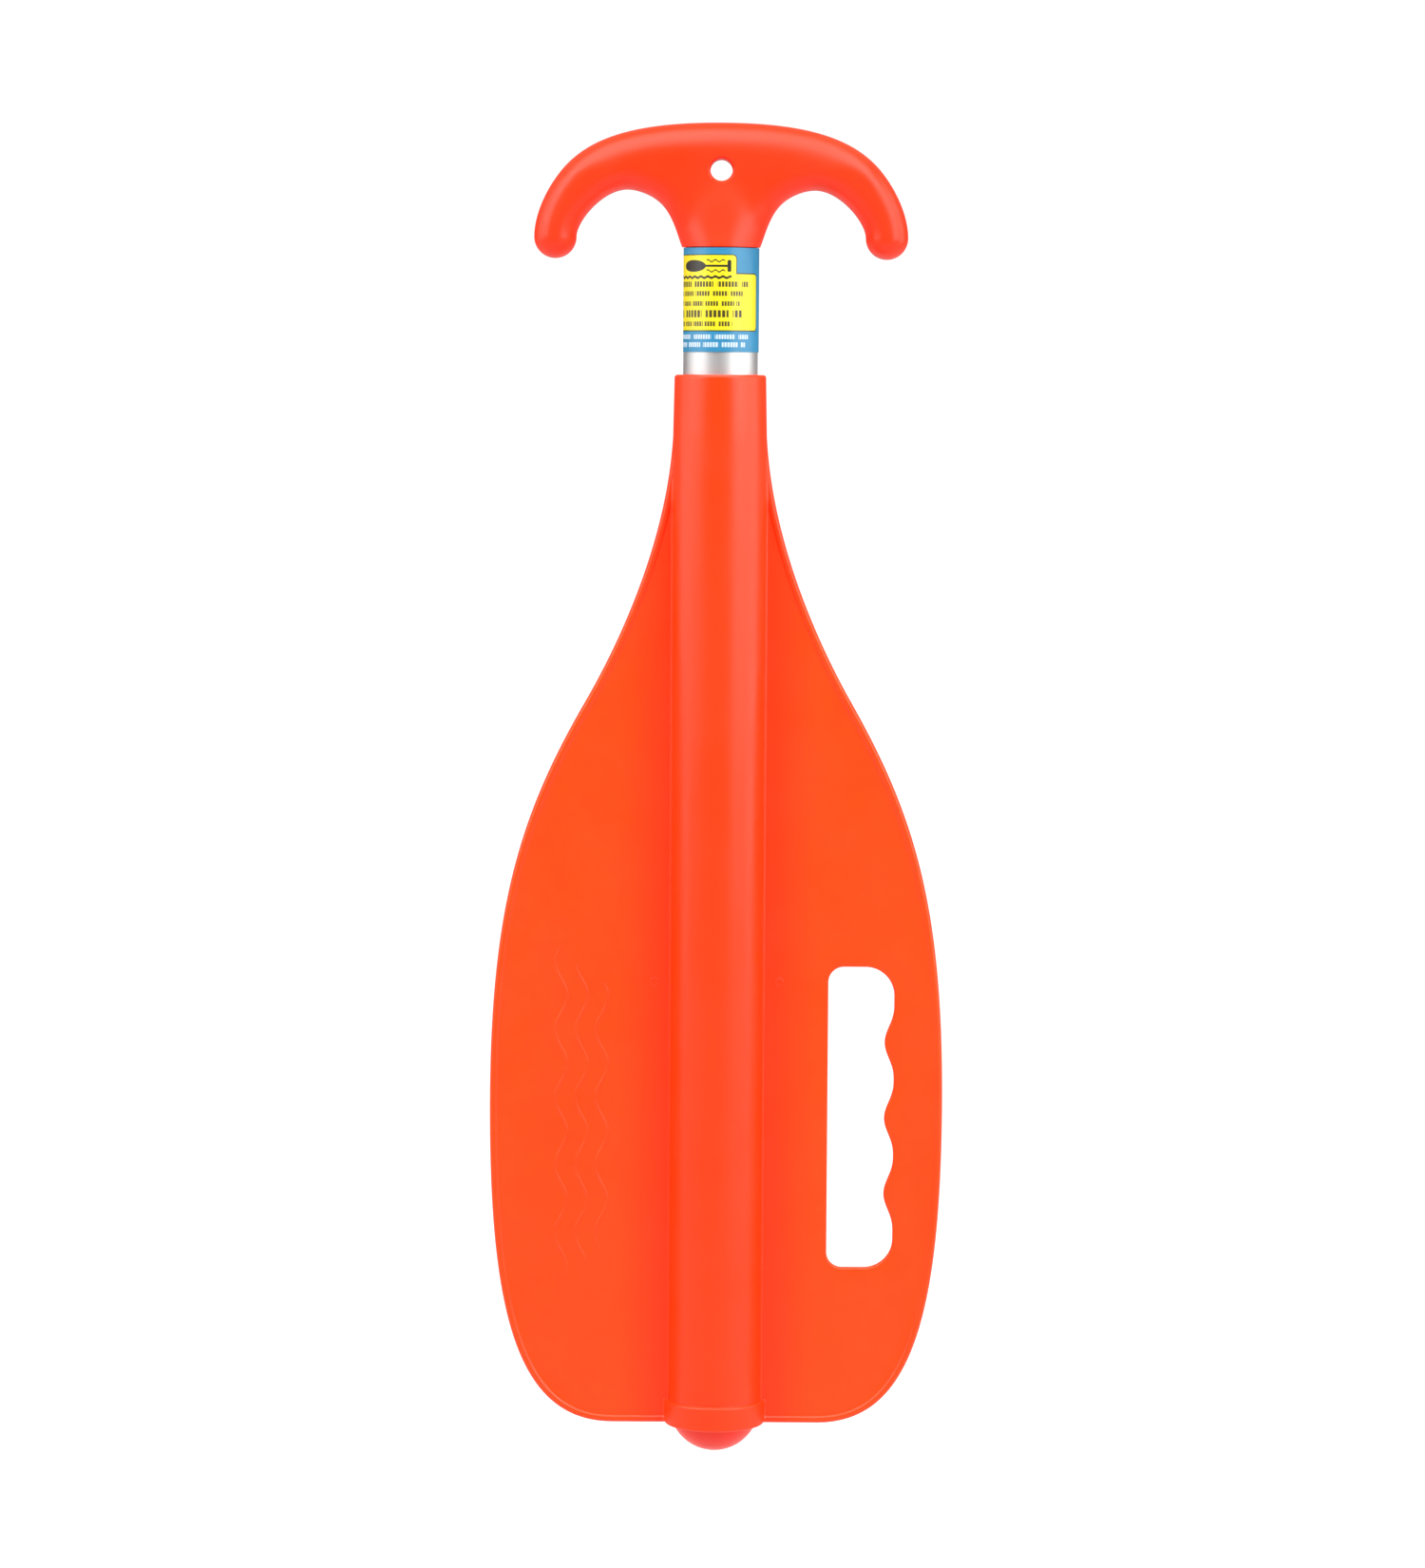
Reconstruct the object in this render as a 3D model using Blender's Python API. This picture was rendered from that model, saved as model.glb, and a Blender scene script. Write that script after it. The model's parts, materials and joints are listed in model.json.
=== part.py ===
"""Telescoping emergency boat paddle with a twin-hook handle.

Heights are measured upwards from the tip of the end plug with the paddle closed. The model's
origin is the centre of the hang hole, so up() turns a height into a Z coordinate. The paddle hangs
upright: +Z runs up the shaft, -Y is the front of the blade, +X is the side with the hand slot.
"""

import math

import bmesh
import bpy
import numpy as np
from mathutils import Matrix

MM = 0.001
CLEARANCE = 0.3                     # gap left between pieces that touch on the real paddle

# Driving sizes, in millimetres
CLOSED_LENGTH = 457.2               # 18 inches, tip of end plug to top of handle
OPEN_LENGTH = 787.4                 # 31 inches
TRAVEL = OPEN_LENGTH - CLOSED_LENGTH
HOLE_HEIGHT = 441.1                 # centre of the hang hole

# Shaft tube and label
TUBE_RADIUS = 12.7
TUBE_WALL = 1.2
TUBE_TOP = 414.85
LABEL_BOTTOM = 379.6
LABEL_THICKNESS = 0.2
LABEL_LIFT = 0.1                    # adhesive layer under the label
LABEL_START = -79.0                 # degrees round the shaft from the front, towards +X
LABEL_WRAP = 290.0

# Handle
HANDLE_HALF_DEPTH = 9.0
HANDLE_EDGE_ROUND = 6.5
SHOULDER_HEIGHT = 415.15
SHOULDER_RADIUS = 13.3
SPIGOT_LENGTH = 30.0
HANG_HOLE_RADIUS = 3.8
HANG_HOLE_FLARE = 0.8

# Rivet at the back of the shaft, in the gap of the label
RIVET_HEIGHT = 399.5
RIVET_ANGLE = -126.0                # degrees round the shaft from the front
RIVET_SHANK_RADIUS = 1.6
RIVET_HEAD_RADIUS = 3.2
RIVET_HEAD_HEIGHT = 0.9
RIVET_LENGTH = 8.0
MANDREL_RADIUS = 0.9

# Blade socket
MOUTH_HEIGHT = 371.95
MOUTH_RADIUS = 15.6
MOUTH_ROUND = 1.0
MOUTH_TAPER_END = 352.0
SOCKET_RADIUS = 16.0
BORE_RADIUS = 14.0
LIP_BORE_RADIUS = 13.2
COLLAR_RADIUS = 17.3
COLLAR_TOP = 18.0
BLADE_BOTTOM = 9.6

# Blade web
BLADE_HALF_WIDTH = 78.15
WIDEST_HEIGHT = 119.8
WEB_HALF = 1.7                      # half the web's thickness
RIM_HALF = 2.2                      # half the rim bead's thickness
RIM_EDGE = 1.1                      # radius of the rim's outer edge
RIM_TOP = 1.8                       # distance from the edge to the bead's inner step
RIM_WIDTH = 2.8
WEB_FILLET = 1.2                    # fillet between web and socket
FIN_START = 0.6                     # the web is lost in the socket's side below this width

# Hand slot
SLOT_LEFT = 38.4
SLOT_RIGHT = 61.35
SLOT_TOP = 168.85
SLOT_BOTTOM = 64.2
SLOT_LEFT_ROUND = 5.5
SLOT_RIGHT_ROUND = 10.1
BUMP_TOP_HEIGHT = 142.9             # first bump between two finger hollows
BUMP_PITCH = 26.35
BUMP_COUNT = 3
BUMP_SIZE = 3.2
BUMP_SHARPNESS = 1.3                # above 1, the bumps are narrower than the hollows

# End plug
DOME_RADIUS = 15.7
DOME_WALL = 2.0
SKIRT_TOP = 16.0
SKIRT_WALL = 2.0

# Twist lock in the shaft's lower end, from the bottom up
ECCENTRICITY = 0.8
WASHER_RADIUS = 12.6
WASHER_THICKNESS = 1.2
RING_LENGTH = 13.8
RING_RADIUS = 13.7
JOURNAL_RADIUS = 10.5
RING_SPLIT = 2.4
RING_GROOVES = 16
RING_GROOVE_DEPTH = 0.5
PLUG_FLANGE = 2.0
PLUG_SPIGOT = 24.0
PIN_RADIUS = 1.25
PIN_WALL = 0.45
PIN_ABOVE_TUBE_END = 3.8
SCREW_RADIUS = 1.9
SCREW_LENGTH = 16.5
SCREW_HEAD_RADIUS = 4.1
SCREW_HEAD_HEIGHT = 2.6

# Heights of the lock's pieces follow from the stack
WASHER_BOTTOM = SKIRT_TOP + CLEARANCE
RING_BOTTOM = WASHER_BOTTOM + WASHER_THICKNESS + 2 * CLEARANCE
JOURNAL_BOTTOM = WASHER_BOTTOM + WASHER_THICKNESS + CLEARANCE
RING_TOP = RING_BOTTOM + RING_LENGTH
FLANGE_BOTTOM = RING_TOP + CLEARANCE
FLANGE_TOP = FLANGE_BOTTOM + PLUG_FLANGE
TUBE_BOTTOM = FLANGE_TOP + CLEARANCE
PIN_HEIGHT = TUBE_BOTTOM + PIN_ABOVE_TUBE_END
LIP_BOTTOM = RING_TOP + TRAVEL + CLEARANCE      # the cam ring stops against the lip

# Facets
ROUND_SEGMENTS = 64
SMALL_SEGMENTS = 24
RIVET_SEGMENTS = 40
SCREW_SEGMENTS = 16

# Colours: red, green, blue, then roughness and metallic
ORANGE = ((1.0, 0.10, 0.02), 0.42, 0.0)
HANDLE_ORANGE = ((1.0, 0.075, 0.02), 0.4, 0.0)
ALUMINIUM = ((0.80, 0.80, 0.79), 0.3, 1.0)
LABEL_BLUE = ((0.10, 0.36, 0.68), 0.35, 0.0)
NYLON = ((0.80, 0.79, 0.74), 0.5, 0.0)
STEEL = ((0.55, 0.55, 0.54), 0.3, 1.0)


def up(height):
    """Z coordinate, in millimetres, of a height above the tip of the closed paddle."""
    return height - HOLE_HEIGHT


def bezier(start, first, second, end, steps):
    """Points on a cubic Bezier curve, without its end point."""
    t = np.arange(steps)[:, None] / steps
    start, first, second, end = (np.array(p, float) for p in (start, first, second, end))
    curve = (1 - t) ** 3 * start + 3 * (1 - t) ** 2 * t * first
    curve += 3 * (1 - t) * t**2 * second + t**3 * end
    return [tuple(p) for p in curve]


def arc(centre, radius, start, end, steps):
    """Points on an arc from start to end, in degrees anticlockwise from +X, ends included."""
    angles = np.radians(np.linspace(start, end, steps + 1))
    return [(centre[0] + radius * math.cos(a), centre[1] + radius * math.sin(a)) for a in angles]


def material(name, finish):
    colour, roughness, metallic = finish
    made = bpy.data.materials.new(name)
    made.use_nodes = True
    shader = made.node_tree.nodes["Principled BSDF"]
    shader.inputs["Base Color"].default_value = (*colour, 1.0)
    shader.inputs["Roughness"].default_value = roughness
    shader.inputs["Metallic"].default_value = metallic
    return made


def add_object(name, bm, finish, parent=None, offset=(0.0, 0.0, 0.0)):
    """Turn a bmesh in millimetres into an object in metres, with its origin at offset."""
    bmesh.ops.remove_doubles(bm, verts=bm.verts, dist=1e-5)
    bmesh.ops.translate(bm, verts=bm.verts, vec=[-v for v in offset])
    bmesh.ops.scale(bm, verts=bm.verts, vec=(MM, MM, MM))
    bmesh.ops.recalc_face_normals(bm, faces=bm.faces)
    mesh = bpy.data.meshes.new(name)
    bm.to_mesh(mesh)
    bm.free()
    mesh.shade_smooth()
    mesh.set_sharp_from_angle(angle=math.radians(35))
    thing = bpy.data.objects.new(name, mesh)
    bpy.context.scene.collection.objects.link(thing)
    thing.location = [v * MM for v in offset]
    if finish:
        mesh.materials.append(finish)
    if parent:
        thing.parent = parent
        thing.matrix_parent_inverse = parent.matrix_world.inverted()
    return thing


def joint_empty(name, x, height, parent=None):
    """An empty on a joint's axis."""
    empty = bpy.data.objects.new(name, None)
    bpy.context.scene.collection.objects.link(empty)
    empty.location = (x * MM, 0.0, up(height) * MM)
    bpy.context.view_layer.update()
    if parent:
        empty.parent = parent
        empty.matrix_parent_inverse = parent.matrix_world.inverted()
        bpy.context.view_layer.update()
    return empty


def turned(profile, segments=ROUND_SEGMENTS, centre_x=0.0, closed=False):
    """Solid of revolution about the vertical axis from (radius, height) points."""
    bm = bmesh.new()
    verts = [bm.verts.new((radius, 0.0, up(height))) for radius, height in profile]
    edges = [bm.edges.new(pair) for pair in zip(verts, verts[1:])]
    if closed:
        edges.append(bm.edges.new((verts[-1], verts[0])))
    bmesh.ops.spin(bm, geom=verts + edges, axis=(0, 0, 1), cent=(0, 0, 0),
                   angle=2 * math.pi, steps=segments, use_merge=True)
    bmesh.ops.remove_doubles(bm, verts=bm.verts, dist=1e-5)
    bmesh.ops.translate(bm, verts=bm.verts, vec=(centre_x, 0, 0))
    return bm


def skinned(rings):
    """Closed skin over rings of equal point counts, with a face over each end."""
    bm = bmesh.new()
    loops = [[bm.verts.new(point) for point in ring] for ring in rings]
    for lower, upper in zip(loops, loops[1:]):
        count = len(lower)
        for i in range(count):
            j = (i + 1) % count
            bm.faces.new((lower[i], lower[j], upper[j], upper[i]))
    bm.faces.new(reversed(loops[0]))
    bm.faces.new(loops[-1])
    return bm


def lay_radially(bm, height, angle):
    """Turn a solid made along the vertical axis so that it points out of the shaft at an angle.

    Its heights become distances from the shaft's axis. The angle starts at the front and goes
    towards +X.
    """
    stand = Matrix.Translation((0, 0, HOLE_HEIGHT))
    point_forward = Matrix.Rotation(math.radians(90), 4, "X")
    swing = Matrix.Rotation(math.radians(angle), 4, "Z")
    raise_up = Matrix.Translation((0, 0, up(height)))
    bmesh.ops.transform(bm, verts=bm.verts, matrix=raise_up @ swing @ point_forward @ stand)


def radial_cutter(name, height, angle, radius, inner, outer):
    """Round cutter that points out of the shaft, between two distances from its axis."""
    cutter = turned([(0.0, outer), (radius, outer), (radius, inner), (0.0, inner)], SMALL_SEGMENTS)
    lay_radially(cutter, height, angle)
    return add_object(name, cutter, None)


def boolean(target, operand, operation):
    """Cut or join with a hidden operand, kept as a modifier."""
    operand.hide_render = True
    operand.display_type = "WIRE"
    modifier = target.modifiers.new(operand.name, "BOOLEAN")
    modifier.object = operand
    modifier.operation = operation
    modifier.solver = "EXACT"


# Handle ---------------------------------------------------------------------------------------

def handle_outline():
    """Right half of the handle's outline from the top centre to the neck, then its mirror image."""
    crest = (52.5, 443.0)
    tip_centre = (56.4, 418.4)
    tip_radius = 7.2
    arch_top = (31.9, 434.85)
    neck = (17.3, 425.0)
    right = bezier((0.0, CLOSED_LENGTH), (26.6, CLOSED_LENGTH), (42.8, 453.0), crest, 9)
    right += bezier(crest, (58.1, 437.2), (63.6, 427.1), (63.6, 418.4), 7)
    right += arc(tip_centre, tip_radius, 0, -180, 10)[:-1]
    right += bezier((49.2, 418.4), (49.2, 423.8), (40.1, 434.85), arch_top, 9)
    right += bezier(arch_top, (28.0, 434.85), (20.3, 432.1), neck, 7)
    right += [neck, (15.0, 421.0)]
    left = [(-x, height) for x, height in right[:0:-1]]
    return right + left


def inset(outline, distance):
    """Outline moved inwards by a distance, along the mean normal at each point."""
    points = np.array(outline)
    along = np.roll(points, -1, axis=0) - np.roll(points, 1, axis=0)
    along /= np.linalg.norm(along, axis=1)[:, None]
    inwards = np.column_stack((along[:, 1], -along[:, 0]))
    return points + inwards * distance


def rounded_plate(outline, half_depth, edge_round, steps):
    """Plate across the Y axis with fully rounded edges."""
    rings = []
    core = half_depth - edge_round
    angles = [math.radians(90 * k / steps) for k in range(steps + 1)]
    sides = [(-1, a) for a in reversed(angles)] + [(1, a) for a in angles]
    for side, angle in sides:
        moved = inset(outline, edge_round * (1 - math.cos(angle)))
        depth = side * (core + edge_round * math.sin(angle))
        rings.append([(x, depth, up(height)) for x, height in moved])
    return skinned(rings)


def neck_and_spigot():
    """Round shoulder that flattens into the plate, with the spigot that fits the shaft."""
    blend_top = 440.0
    spigot_radius = TUBE_RADIUS - TUBE_WALL - CLEARANCE
    spigot_end = SHOULDER_HEIGHT - SPIGOT_LENGTH
    chamfer = 1.0
    sections = [(spigot_end, spigot_radius - chamfer, spigot_radius - chamfer),
                (spigot_end + chamfer, spigot_radius, spigot_radius),
                (SHOULDER_HEIGHT, spigot_radius, spigot_radius),
                (SHOULDER_HEIGHT, SHOULDER_RADIUS, SHOULDER_RADIUS)]
    for height in (417.0, 420.0, 423.0, 426.5, 430.0, 434.0, blend_top):
        share = (height - SHOULDER_HEIGHT) / (blend_top - SHOULDER_HEIGHT)
        flattening = (1 - share) ** 2 * (1 + 2 * share)
        half_depth = HANDLE_HALF_DEPTH - 0.4 + (SHOULDER_RADIUS - HANDLE_HALF_DEPTH + 0.4) * flattening
        half_width = min(SHOULDER_RADIUS + 0.39 * (height - SHOULDER_HEIGHT), 18.0)
        sections.append((height, half_width, half_depth))
    rings = []
    for height, half_width, half_depth in sections:
        circle = arc((0, 0), 1.0, 0, 360, ROUND_SEGMENTS - 16)[:-1]
        rings.append([(x * half_width, y * half_depth, up(height)) for x, y in circle])
    return skinned(rings)


def make_handle(finish):
    plate = rounded_plate(handle_outline(), HANDLE_HALF_DEPTH, HANDLE_EDGE_ROUND, 4)
    handle = add_object("handle", plate, finish)
    neck = add_object("handle_neck_join", neck_and_spigot(), None)
    boolean(handle, neck, "UNION")
    reach = HANDLE_HALF_DEPTH + 1.0
    flare = HANG_HOLE_RADIUS + 1.6
    flare_start = HANDLE_HALF_DEPTH - HANG_HOLE_FLARE
    profile = [(0.0, reach), (flare, reach), (HANG_HOLE_RADIUS, flare_start),
               (HANG_HOLE_RADIUS, -flare_start), (flare, -reach), (0.0, -reach)]
    cutter = turned(profile, 32)
    lay_radially(cutter, HOLE_HEIGHT, 0)
    boolean(handle, add_object("hang_hole_cut", cutter, None), "DIFFERENCE")
    rivet_hole = RIVET_SHANK_RADIUS + CLEARANCE
    rivet_cut = radial_cutter("handle_rivet_cut", RIVET_HEIGHT, RIVET_ANGLE, rivet_hole, 3.0, TUBE_RADIUS)
    boolean(handle, rivet_cut, "DIFFERENCE")


def make_rivet(aluminium, steel):
    """Blind rivet through the shaft's wall into the handle's spigot, and the mandrel left in it."""
    under_head = TUBE_RADIUS + CLEARANCE
    inner_end = under_head - RIVET_LENGTH
    bore = MANDREL_RADIUS + CLEARANCE
    head_top = under_head + RIVET_HEAD_HEIGHT
    body = turned([(bore, inner_end), (RIVET_SHANK_RADIUS, inner_end), (RIVET_SHANK_RADIUS, under_head),
                   (RIVET_HEAD_RADIUS, under_head), (RIVET_HEAD_RADIUS - 0.3, under_head + 0.5),
                   (RIVET_HEAD_RADIUS - 1.2, head_top), (bore, head_top)], RIVET_SEGMENTS, closed=True)
    lay_radially(body, RIVET_HEIGHT, RIVET_ANGLE)
    add_object("handle_rivet", body, aluminium)
    mandrel = turned([(0.0, inner_end + 0.5), (MANDREL_RADIUS, inner_end + 0.5),
                      (MANDREL_RADIUS, head_top - 0.4), (0.0, head_top - 0.4)], RIVET_SEGMENTS // 2)
    lay_radially(mandrel, RIVET_HEIGHT, RIVET_ANGLE)
    add_object("rivet_mandrel", mandrel, steel)


# Shaft ----------------------------------------------------------------------------------------

def make_shaft(finish):
    inner = TUBE_RADIUS - TUBE_WALL
    wall = [(TUBE_RADIUS, TUBE_TOP), (TUBE_RADIUS, TUBE_BOTTOM), (inner, TUBE_BOTTOM), (inner, TUBE_TOP)]
    tube = add_object("shaft_tube", turned(wall, closed=True), finish)
    hole = RIVET_SHANK_RADIUS + CLEARANCE
    past = 20.0
    rivet_cut = radial_cutter("tube_rivet_cut", RIVET_HEIGHT, RIVET_ANGLE, hole, 6.0, past)
    boolean(tube, rivet_cut, "DIFFERENCE")
    pin_cut = radial_cutter("tube_pin_cut", PIN_HEIGHT, 0, PIN_RADIUS + CLEARANCE, -past, past)
    boolean(tube, pin_cut, "DIFFERENCE")


def make_label(finish):
    """Printed wrap label, open where its ends don't meet."""
    inner = TUBE_RADIUS + LABEL_LIFT
    outer = inner + LABEL_THICKNESS
    pitch = 360.0 / ROUND_SEGMENTS
    first = round(LABEL_START / pitch)
    last = round((LABEL_START + LABEL_WRAP) / pitch)
    rings = []
    for step in range(first, last + 1):
        angle = math.radians(step * pitch)
        across, depth = math.sin(angle), -math.cos(angle)
        rings.append([(inner * across, inner * depth, up(LABEL_BOTTOM)),
                      (outer * across, outer * depth, up(LABEL_BOTTOM)),
                      (outer * across, outer * depth, up(TUBE_TOP)),
                      (inner * across, inner * depth, up(TUBE_TOP))])
    add_object("shaft_label", skinned(rings), finish)


# Blade ----------------------------------------------------------------------------------------

def side_edge():
    """Right edge of the web as (half width, height) points, from the socket down to the bottom."""
    shoulder = (45.8, 259.9)
    widest = (BLADE_HALF_WIDTH, WIDEST_HEIGHT)
    edge = bezier((SOCKET_RADIUS, 357.4), (SOCKET_RADIUS, 318.2), (34.6, 279.4), shoulder, 120)
    edge += bezier(shoulder, (67.8, 221.5), (BLADE_HALF_WIDTH, 189.0), widest, 120)
    edge += bezier(widest, (BLADE_HALF_WIDTH, 44.9), (67.7, BLADE_BOTTOM), (35.4, BLADE_BOTTOM), 160)
    return edge + [(35.4, BLADE_BOTTOM)]


SIDE_EDGE = np.array(side_edge())


def web_half_width(height):
    """Half width of the web at a height, and nothing above the point where it ends."""
    return float(np.interp(height, SIDE_EDGE[::-1, 1], SIDE_EDGE[::-1, 0], right=0.0))


def edge_distance(x, height):
    """Distance from a point of the web to the blade's edge."""
    starts = np.vstack((SIDE_EDGE, (0.0, BLADE_BOTTOM)))[:-1]
    ends = np.vstack((SIDE_EDGE, (0.0, BLADE_BOTTOM)))[1:]
    run = ends - starts
    share = ((x - starts[:, 0]) * run[:, 0] + (height - starts[:, 1]) * run[:, 1]) / (run**2).sum(axis=1)
    near = starts + run * np.clip(share, 0.0, 1.0)[:, None]
    return float(np.hypot(near[:, 0] - x, near[:, 1] - height).min())


def plate_half_thickness(distance):
    """Half thickness of the web with its rim bead, by distance from the edge."""
    if distance < RIM_EDGE:
        return RIM_HALF * math.sqrt(max(0.0, 1.0 - (1.0 - distance / RIM_EDGE) ** 2))
    step = min(max((distance - RIM_TOP) / (RIM_WIDTH - RIM_TOP), 0.0), 1.0)
    return RIM_HALF + (WEB_HALF - RIM_HALF) * step * step * (3 - 2 * step)


def socket_radius(height):
    """Outer radius of the socket tube, with its rounded mouth and its bottom collar."""
    if height <= COLLAR_TOP:
        return COLLAR_RADIUS
    taper = min(max((height - MOUTH_TAPER_END) / (MOUTH_HEIGHT - MOUTH_TAPER_END), 0.0), 1.0)
    radius = SOCKET_RADIUS + (MOUTH_RADIUS - SOCKET_RADIUS) * taper
    into_round = max(height - (MOUTH_HEIGHT - MOUTH_ROUND), 0.0)
    return radius - MOUTH_ROUND + math.sqrt(MOUTH_ROUND**2 - into_round**2)


def front_depth(x, height, radius, fillet_room):
    """Half depth of the blade at a point: socket tube, fillet or web."""
    plate = plate_half_thickness(edge_distance(x, height)) if x < web_half_width(height) else 0.0
    fillet = min(WEB_FILLET, fillet_room) * plate / RIM_HALF
    web_start = math.sqrt((radius + fillet) ** 2 - (plate + fillet) ** 2)
    fillet_start = web_start * radius / (radius + fillet)
    if x <= fillet_start:
        return math.sqrt(max(0.0, radius**2 - x**2))
    if x < web_start:
        return plate + fillet - math.sqrt(max(0.0, fillet**2 - (web_start - x) ** 2))
    return plate


def blade_row(height):
    """Points (x, half depth) of one row, from the middle to the side edge."""
    radius = socket_radius(height)
    edge = max(web_half_width(height), radius)
    outer_columns = 10
    if edge - radius < FIN_START:
        angles = [15 * k for k in range(6)]
        angles += [75 + 15 * k / outer_columns for k in range(1, outer_columns)]
        row = [(radius * math.sin(math.radians(a)), radius * math.cos(math.radians(a))) for a in angles]
        return row + [(radius, 0.0)]
    fillet_room = ((edge - RIM_EDGE) ** 2 - radius**2 + WEB_HALF**2) / (2 * (radius - WEB_HALF))
    fillet_room = max(0.0, fillet_room)
    side = radius * math.sin(math.radians(75))
    columns = [radius * math.sin(math.radians(15 * k)) for k in range(6)]
    fillet_end = math.sqrt((radius + WEB_FILLET) ** 2 - (WEB_HALF + WEB_FILLET) ** 2)
    fillet_end = min(fillet_end, side + 0.5 * (edge - side))
    columns += [side + (fillet_end - side) * k / 3 for k in range(1, 4)]
    rim = min(RIM_WIDTH, 0.6 * (edge - fillet_end))
    columns.append(0.5 * (fillet_end + edge - rim))
    columns += [edge - rim * share for share in (1.0, 0.64, 0.4, 0.16, 0.04, 0.0)]
    return [(x, 0.0 if x >= edge else front_depth(x, height, radius, fillet_room)) for x in columns]


def blade_heights():
    """Row heights: close at the bottom rim, the collar and the mouth, even between them."""
    rim = [BLADE_BOTTOM + d for d in (0.0, 0.12, 0.45, 1.1, 1.8, RIM_WIDTH, 5.0)]
    collar = [COLLAR_TOP, COLLAR_TOP + 0.4]
    corner = [22.0, 27.0, 33.0, 41.0, 52.0, 66.0]
    even = list(np.arange(84.0, 341.0, 16.0))
    mouth = [346.0, 351.0, 357.4] + [MOUTH_HEIGHT - d for d in (MOUTH_ROUND, 0.5, 0.15, 0.0)]
    return rim + collar + corner + even + mouth


def blade_body():
    """Front and back skins that meet along the edge, closed at the mouth and the collar's bottom."""
    bm = bmesh.new()
    rows = []
    for height in blade_heights():
        half = blade_row(height)
        if height == BLADE_BOTTOM:
            half = [(x, depth if x < COLLAR_RADIUS else 0.0) for x, depth in half]
        across = [(-x, depth) for x, depth in half[:0:-1]] + half
        front = [bm.verts.new((x, -depth, up(height))) for x, depth in across]
        back = [f if depth == 0.0 else bm.verts.new((x, depth, up(height)))
                for f, (x, depth) in zip(front, across)]
        rows.append((front, back))
    for (front, back), (front_up, back_up) in zip(rows, rows[1:]):
        for i in range(len(front) - 1):
            bm.faces.new((front[i], front[i + 1], front_up[i + 1], front_up[i]))
            bm.faces.new((back[i + 1], back[i], back_up[i], back_up[i + 1]))
    for front, back in (rows[0], rows[-1]):
        open_part = [i for i in range(len(front)) if front[i] is not back[i]]
        first, last = open_part[0] - 1, open_part[-1] + 1
        loop = front[first:last + 1] + back[last - 1:first:-1]
        bm.faces.new(loop)
    return bm


def slot_outline():
    """Outline of the hand slot, with the finger hollows on its outer side."""
    bump_zone_top = BUMP_TOP_HEIGHT + BUMP_PITCH / 2
    bump_zone_bottom = bump_zone_top - BUMP_COUNT * BUMP_PITCH
    steps = 10 * BUMP_COUNT
    points = []
    for step in range(steps + 1):
        height = bump_zone_bottom + (bump_zone_top - bump_zone_bottom) * step / steps
        phase = 2 * math.pi * (height - BUMP_TOP_HEIGHT) / BUMP_PITCH
        rise = (0.5 + 0.5 * math.cos(phase)) ** BUMP_SHARPNESS
        points.append((SLOT_RIGHT - BUMP_SIZE * rise, height))
    right, left = SLOT_RIGHT - SLOT_RIGHT_ROUND, SLOT_LEFT + SLOT_LEFT_ROUND
    points += arc((right, SLOT_TOP - SLOT_RIGHT_ROUND), SLOT_RIGHT_ROUND, 0, 90, 8)
    points += arc((left, SLOT_TOP - SLOT_LEFT_ROUND), SLOT_LEFT_ROUND, 90, 180, 6)
    points += arc((left, SLOT_BOTTOM + SLOT_LEFT_ROUND), SLOT_LEFT_ROUND, 180, 270, 6)
    points += arc((right, SLOT_BOTTOM + SLOT_RIGHT_ROUND), SLOT_RIGHT_ROUND, 270, 360, 8)
    return points


def make_blade(finish, parent):
    blade = add_object("blade", blade_body(), finish, parent)
    past = 5.0
    bore = turned([(0.0, MOUTH_HEIGHT + past), (LIP_BORE_RADIUS, MOUTH_HEIGHT + past),
                   (LIP_BORE_RADIUS, LIP_BOTTOM), (BORE_RADIUS, LIP_BOTTOM),
                   (BORE_RADIUS, BLADE_BOTTOM - past), (0.0, BLADE_BOTTOM - past)])
    boolean(blade, add_object("bore_cut", bore, None), "DIFFERENCE")
    rings = [[(x, depth, up(height)) for x, height in slot_outline()] for depth in (-past, past)]
    boolean(blade, add_object("slot_cut", skinned(rings), None), "DIFFERENCE")


def make_end_plug(finish, parent):
    """Domed plug, hollow, with a skirt inside the socket's bore."""
    seat = BLADE_BOTTOM - CLEARANCE
    skirt = BORE_RADIUS - CLEARANCE
    hollow = skirt - SKIRT_WALL
    inner_dome = DOME_RADIUS - DOME_WALL
    outer_end = math.degrees(math.asin((DOME_RADIUS - seat) / DOME_RADIUS))
    inner_end = math.degrees(math.acos(hollow / inner_dome))
    centre = (0.0, DOME_RADIUS)
    outer = arc(centre, DOME_RADIUS, -90, -outer_end, 6)
    inner = arc(centre, inner_dome, -inner_end, -90, 4)
    profile = [(0.0, 0.0)] + outer[1:] + [(skirt, seat), (skirt, SKIRT_TOP), (hollow, SKIRT_TOP)]
    profile += inner[:-1] + [(0.0, DOME_WALL)]
    add_object("end_plug", turned(profile, ROUND_SEGMENTS - 16), finish, parent)


# Twist lock -----------------------------------------------------------------------------------

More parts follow.
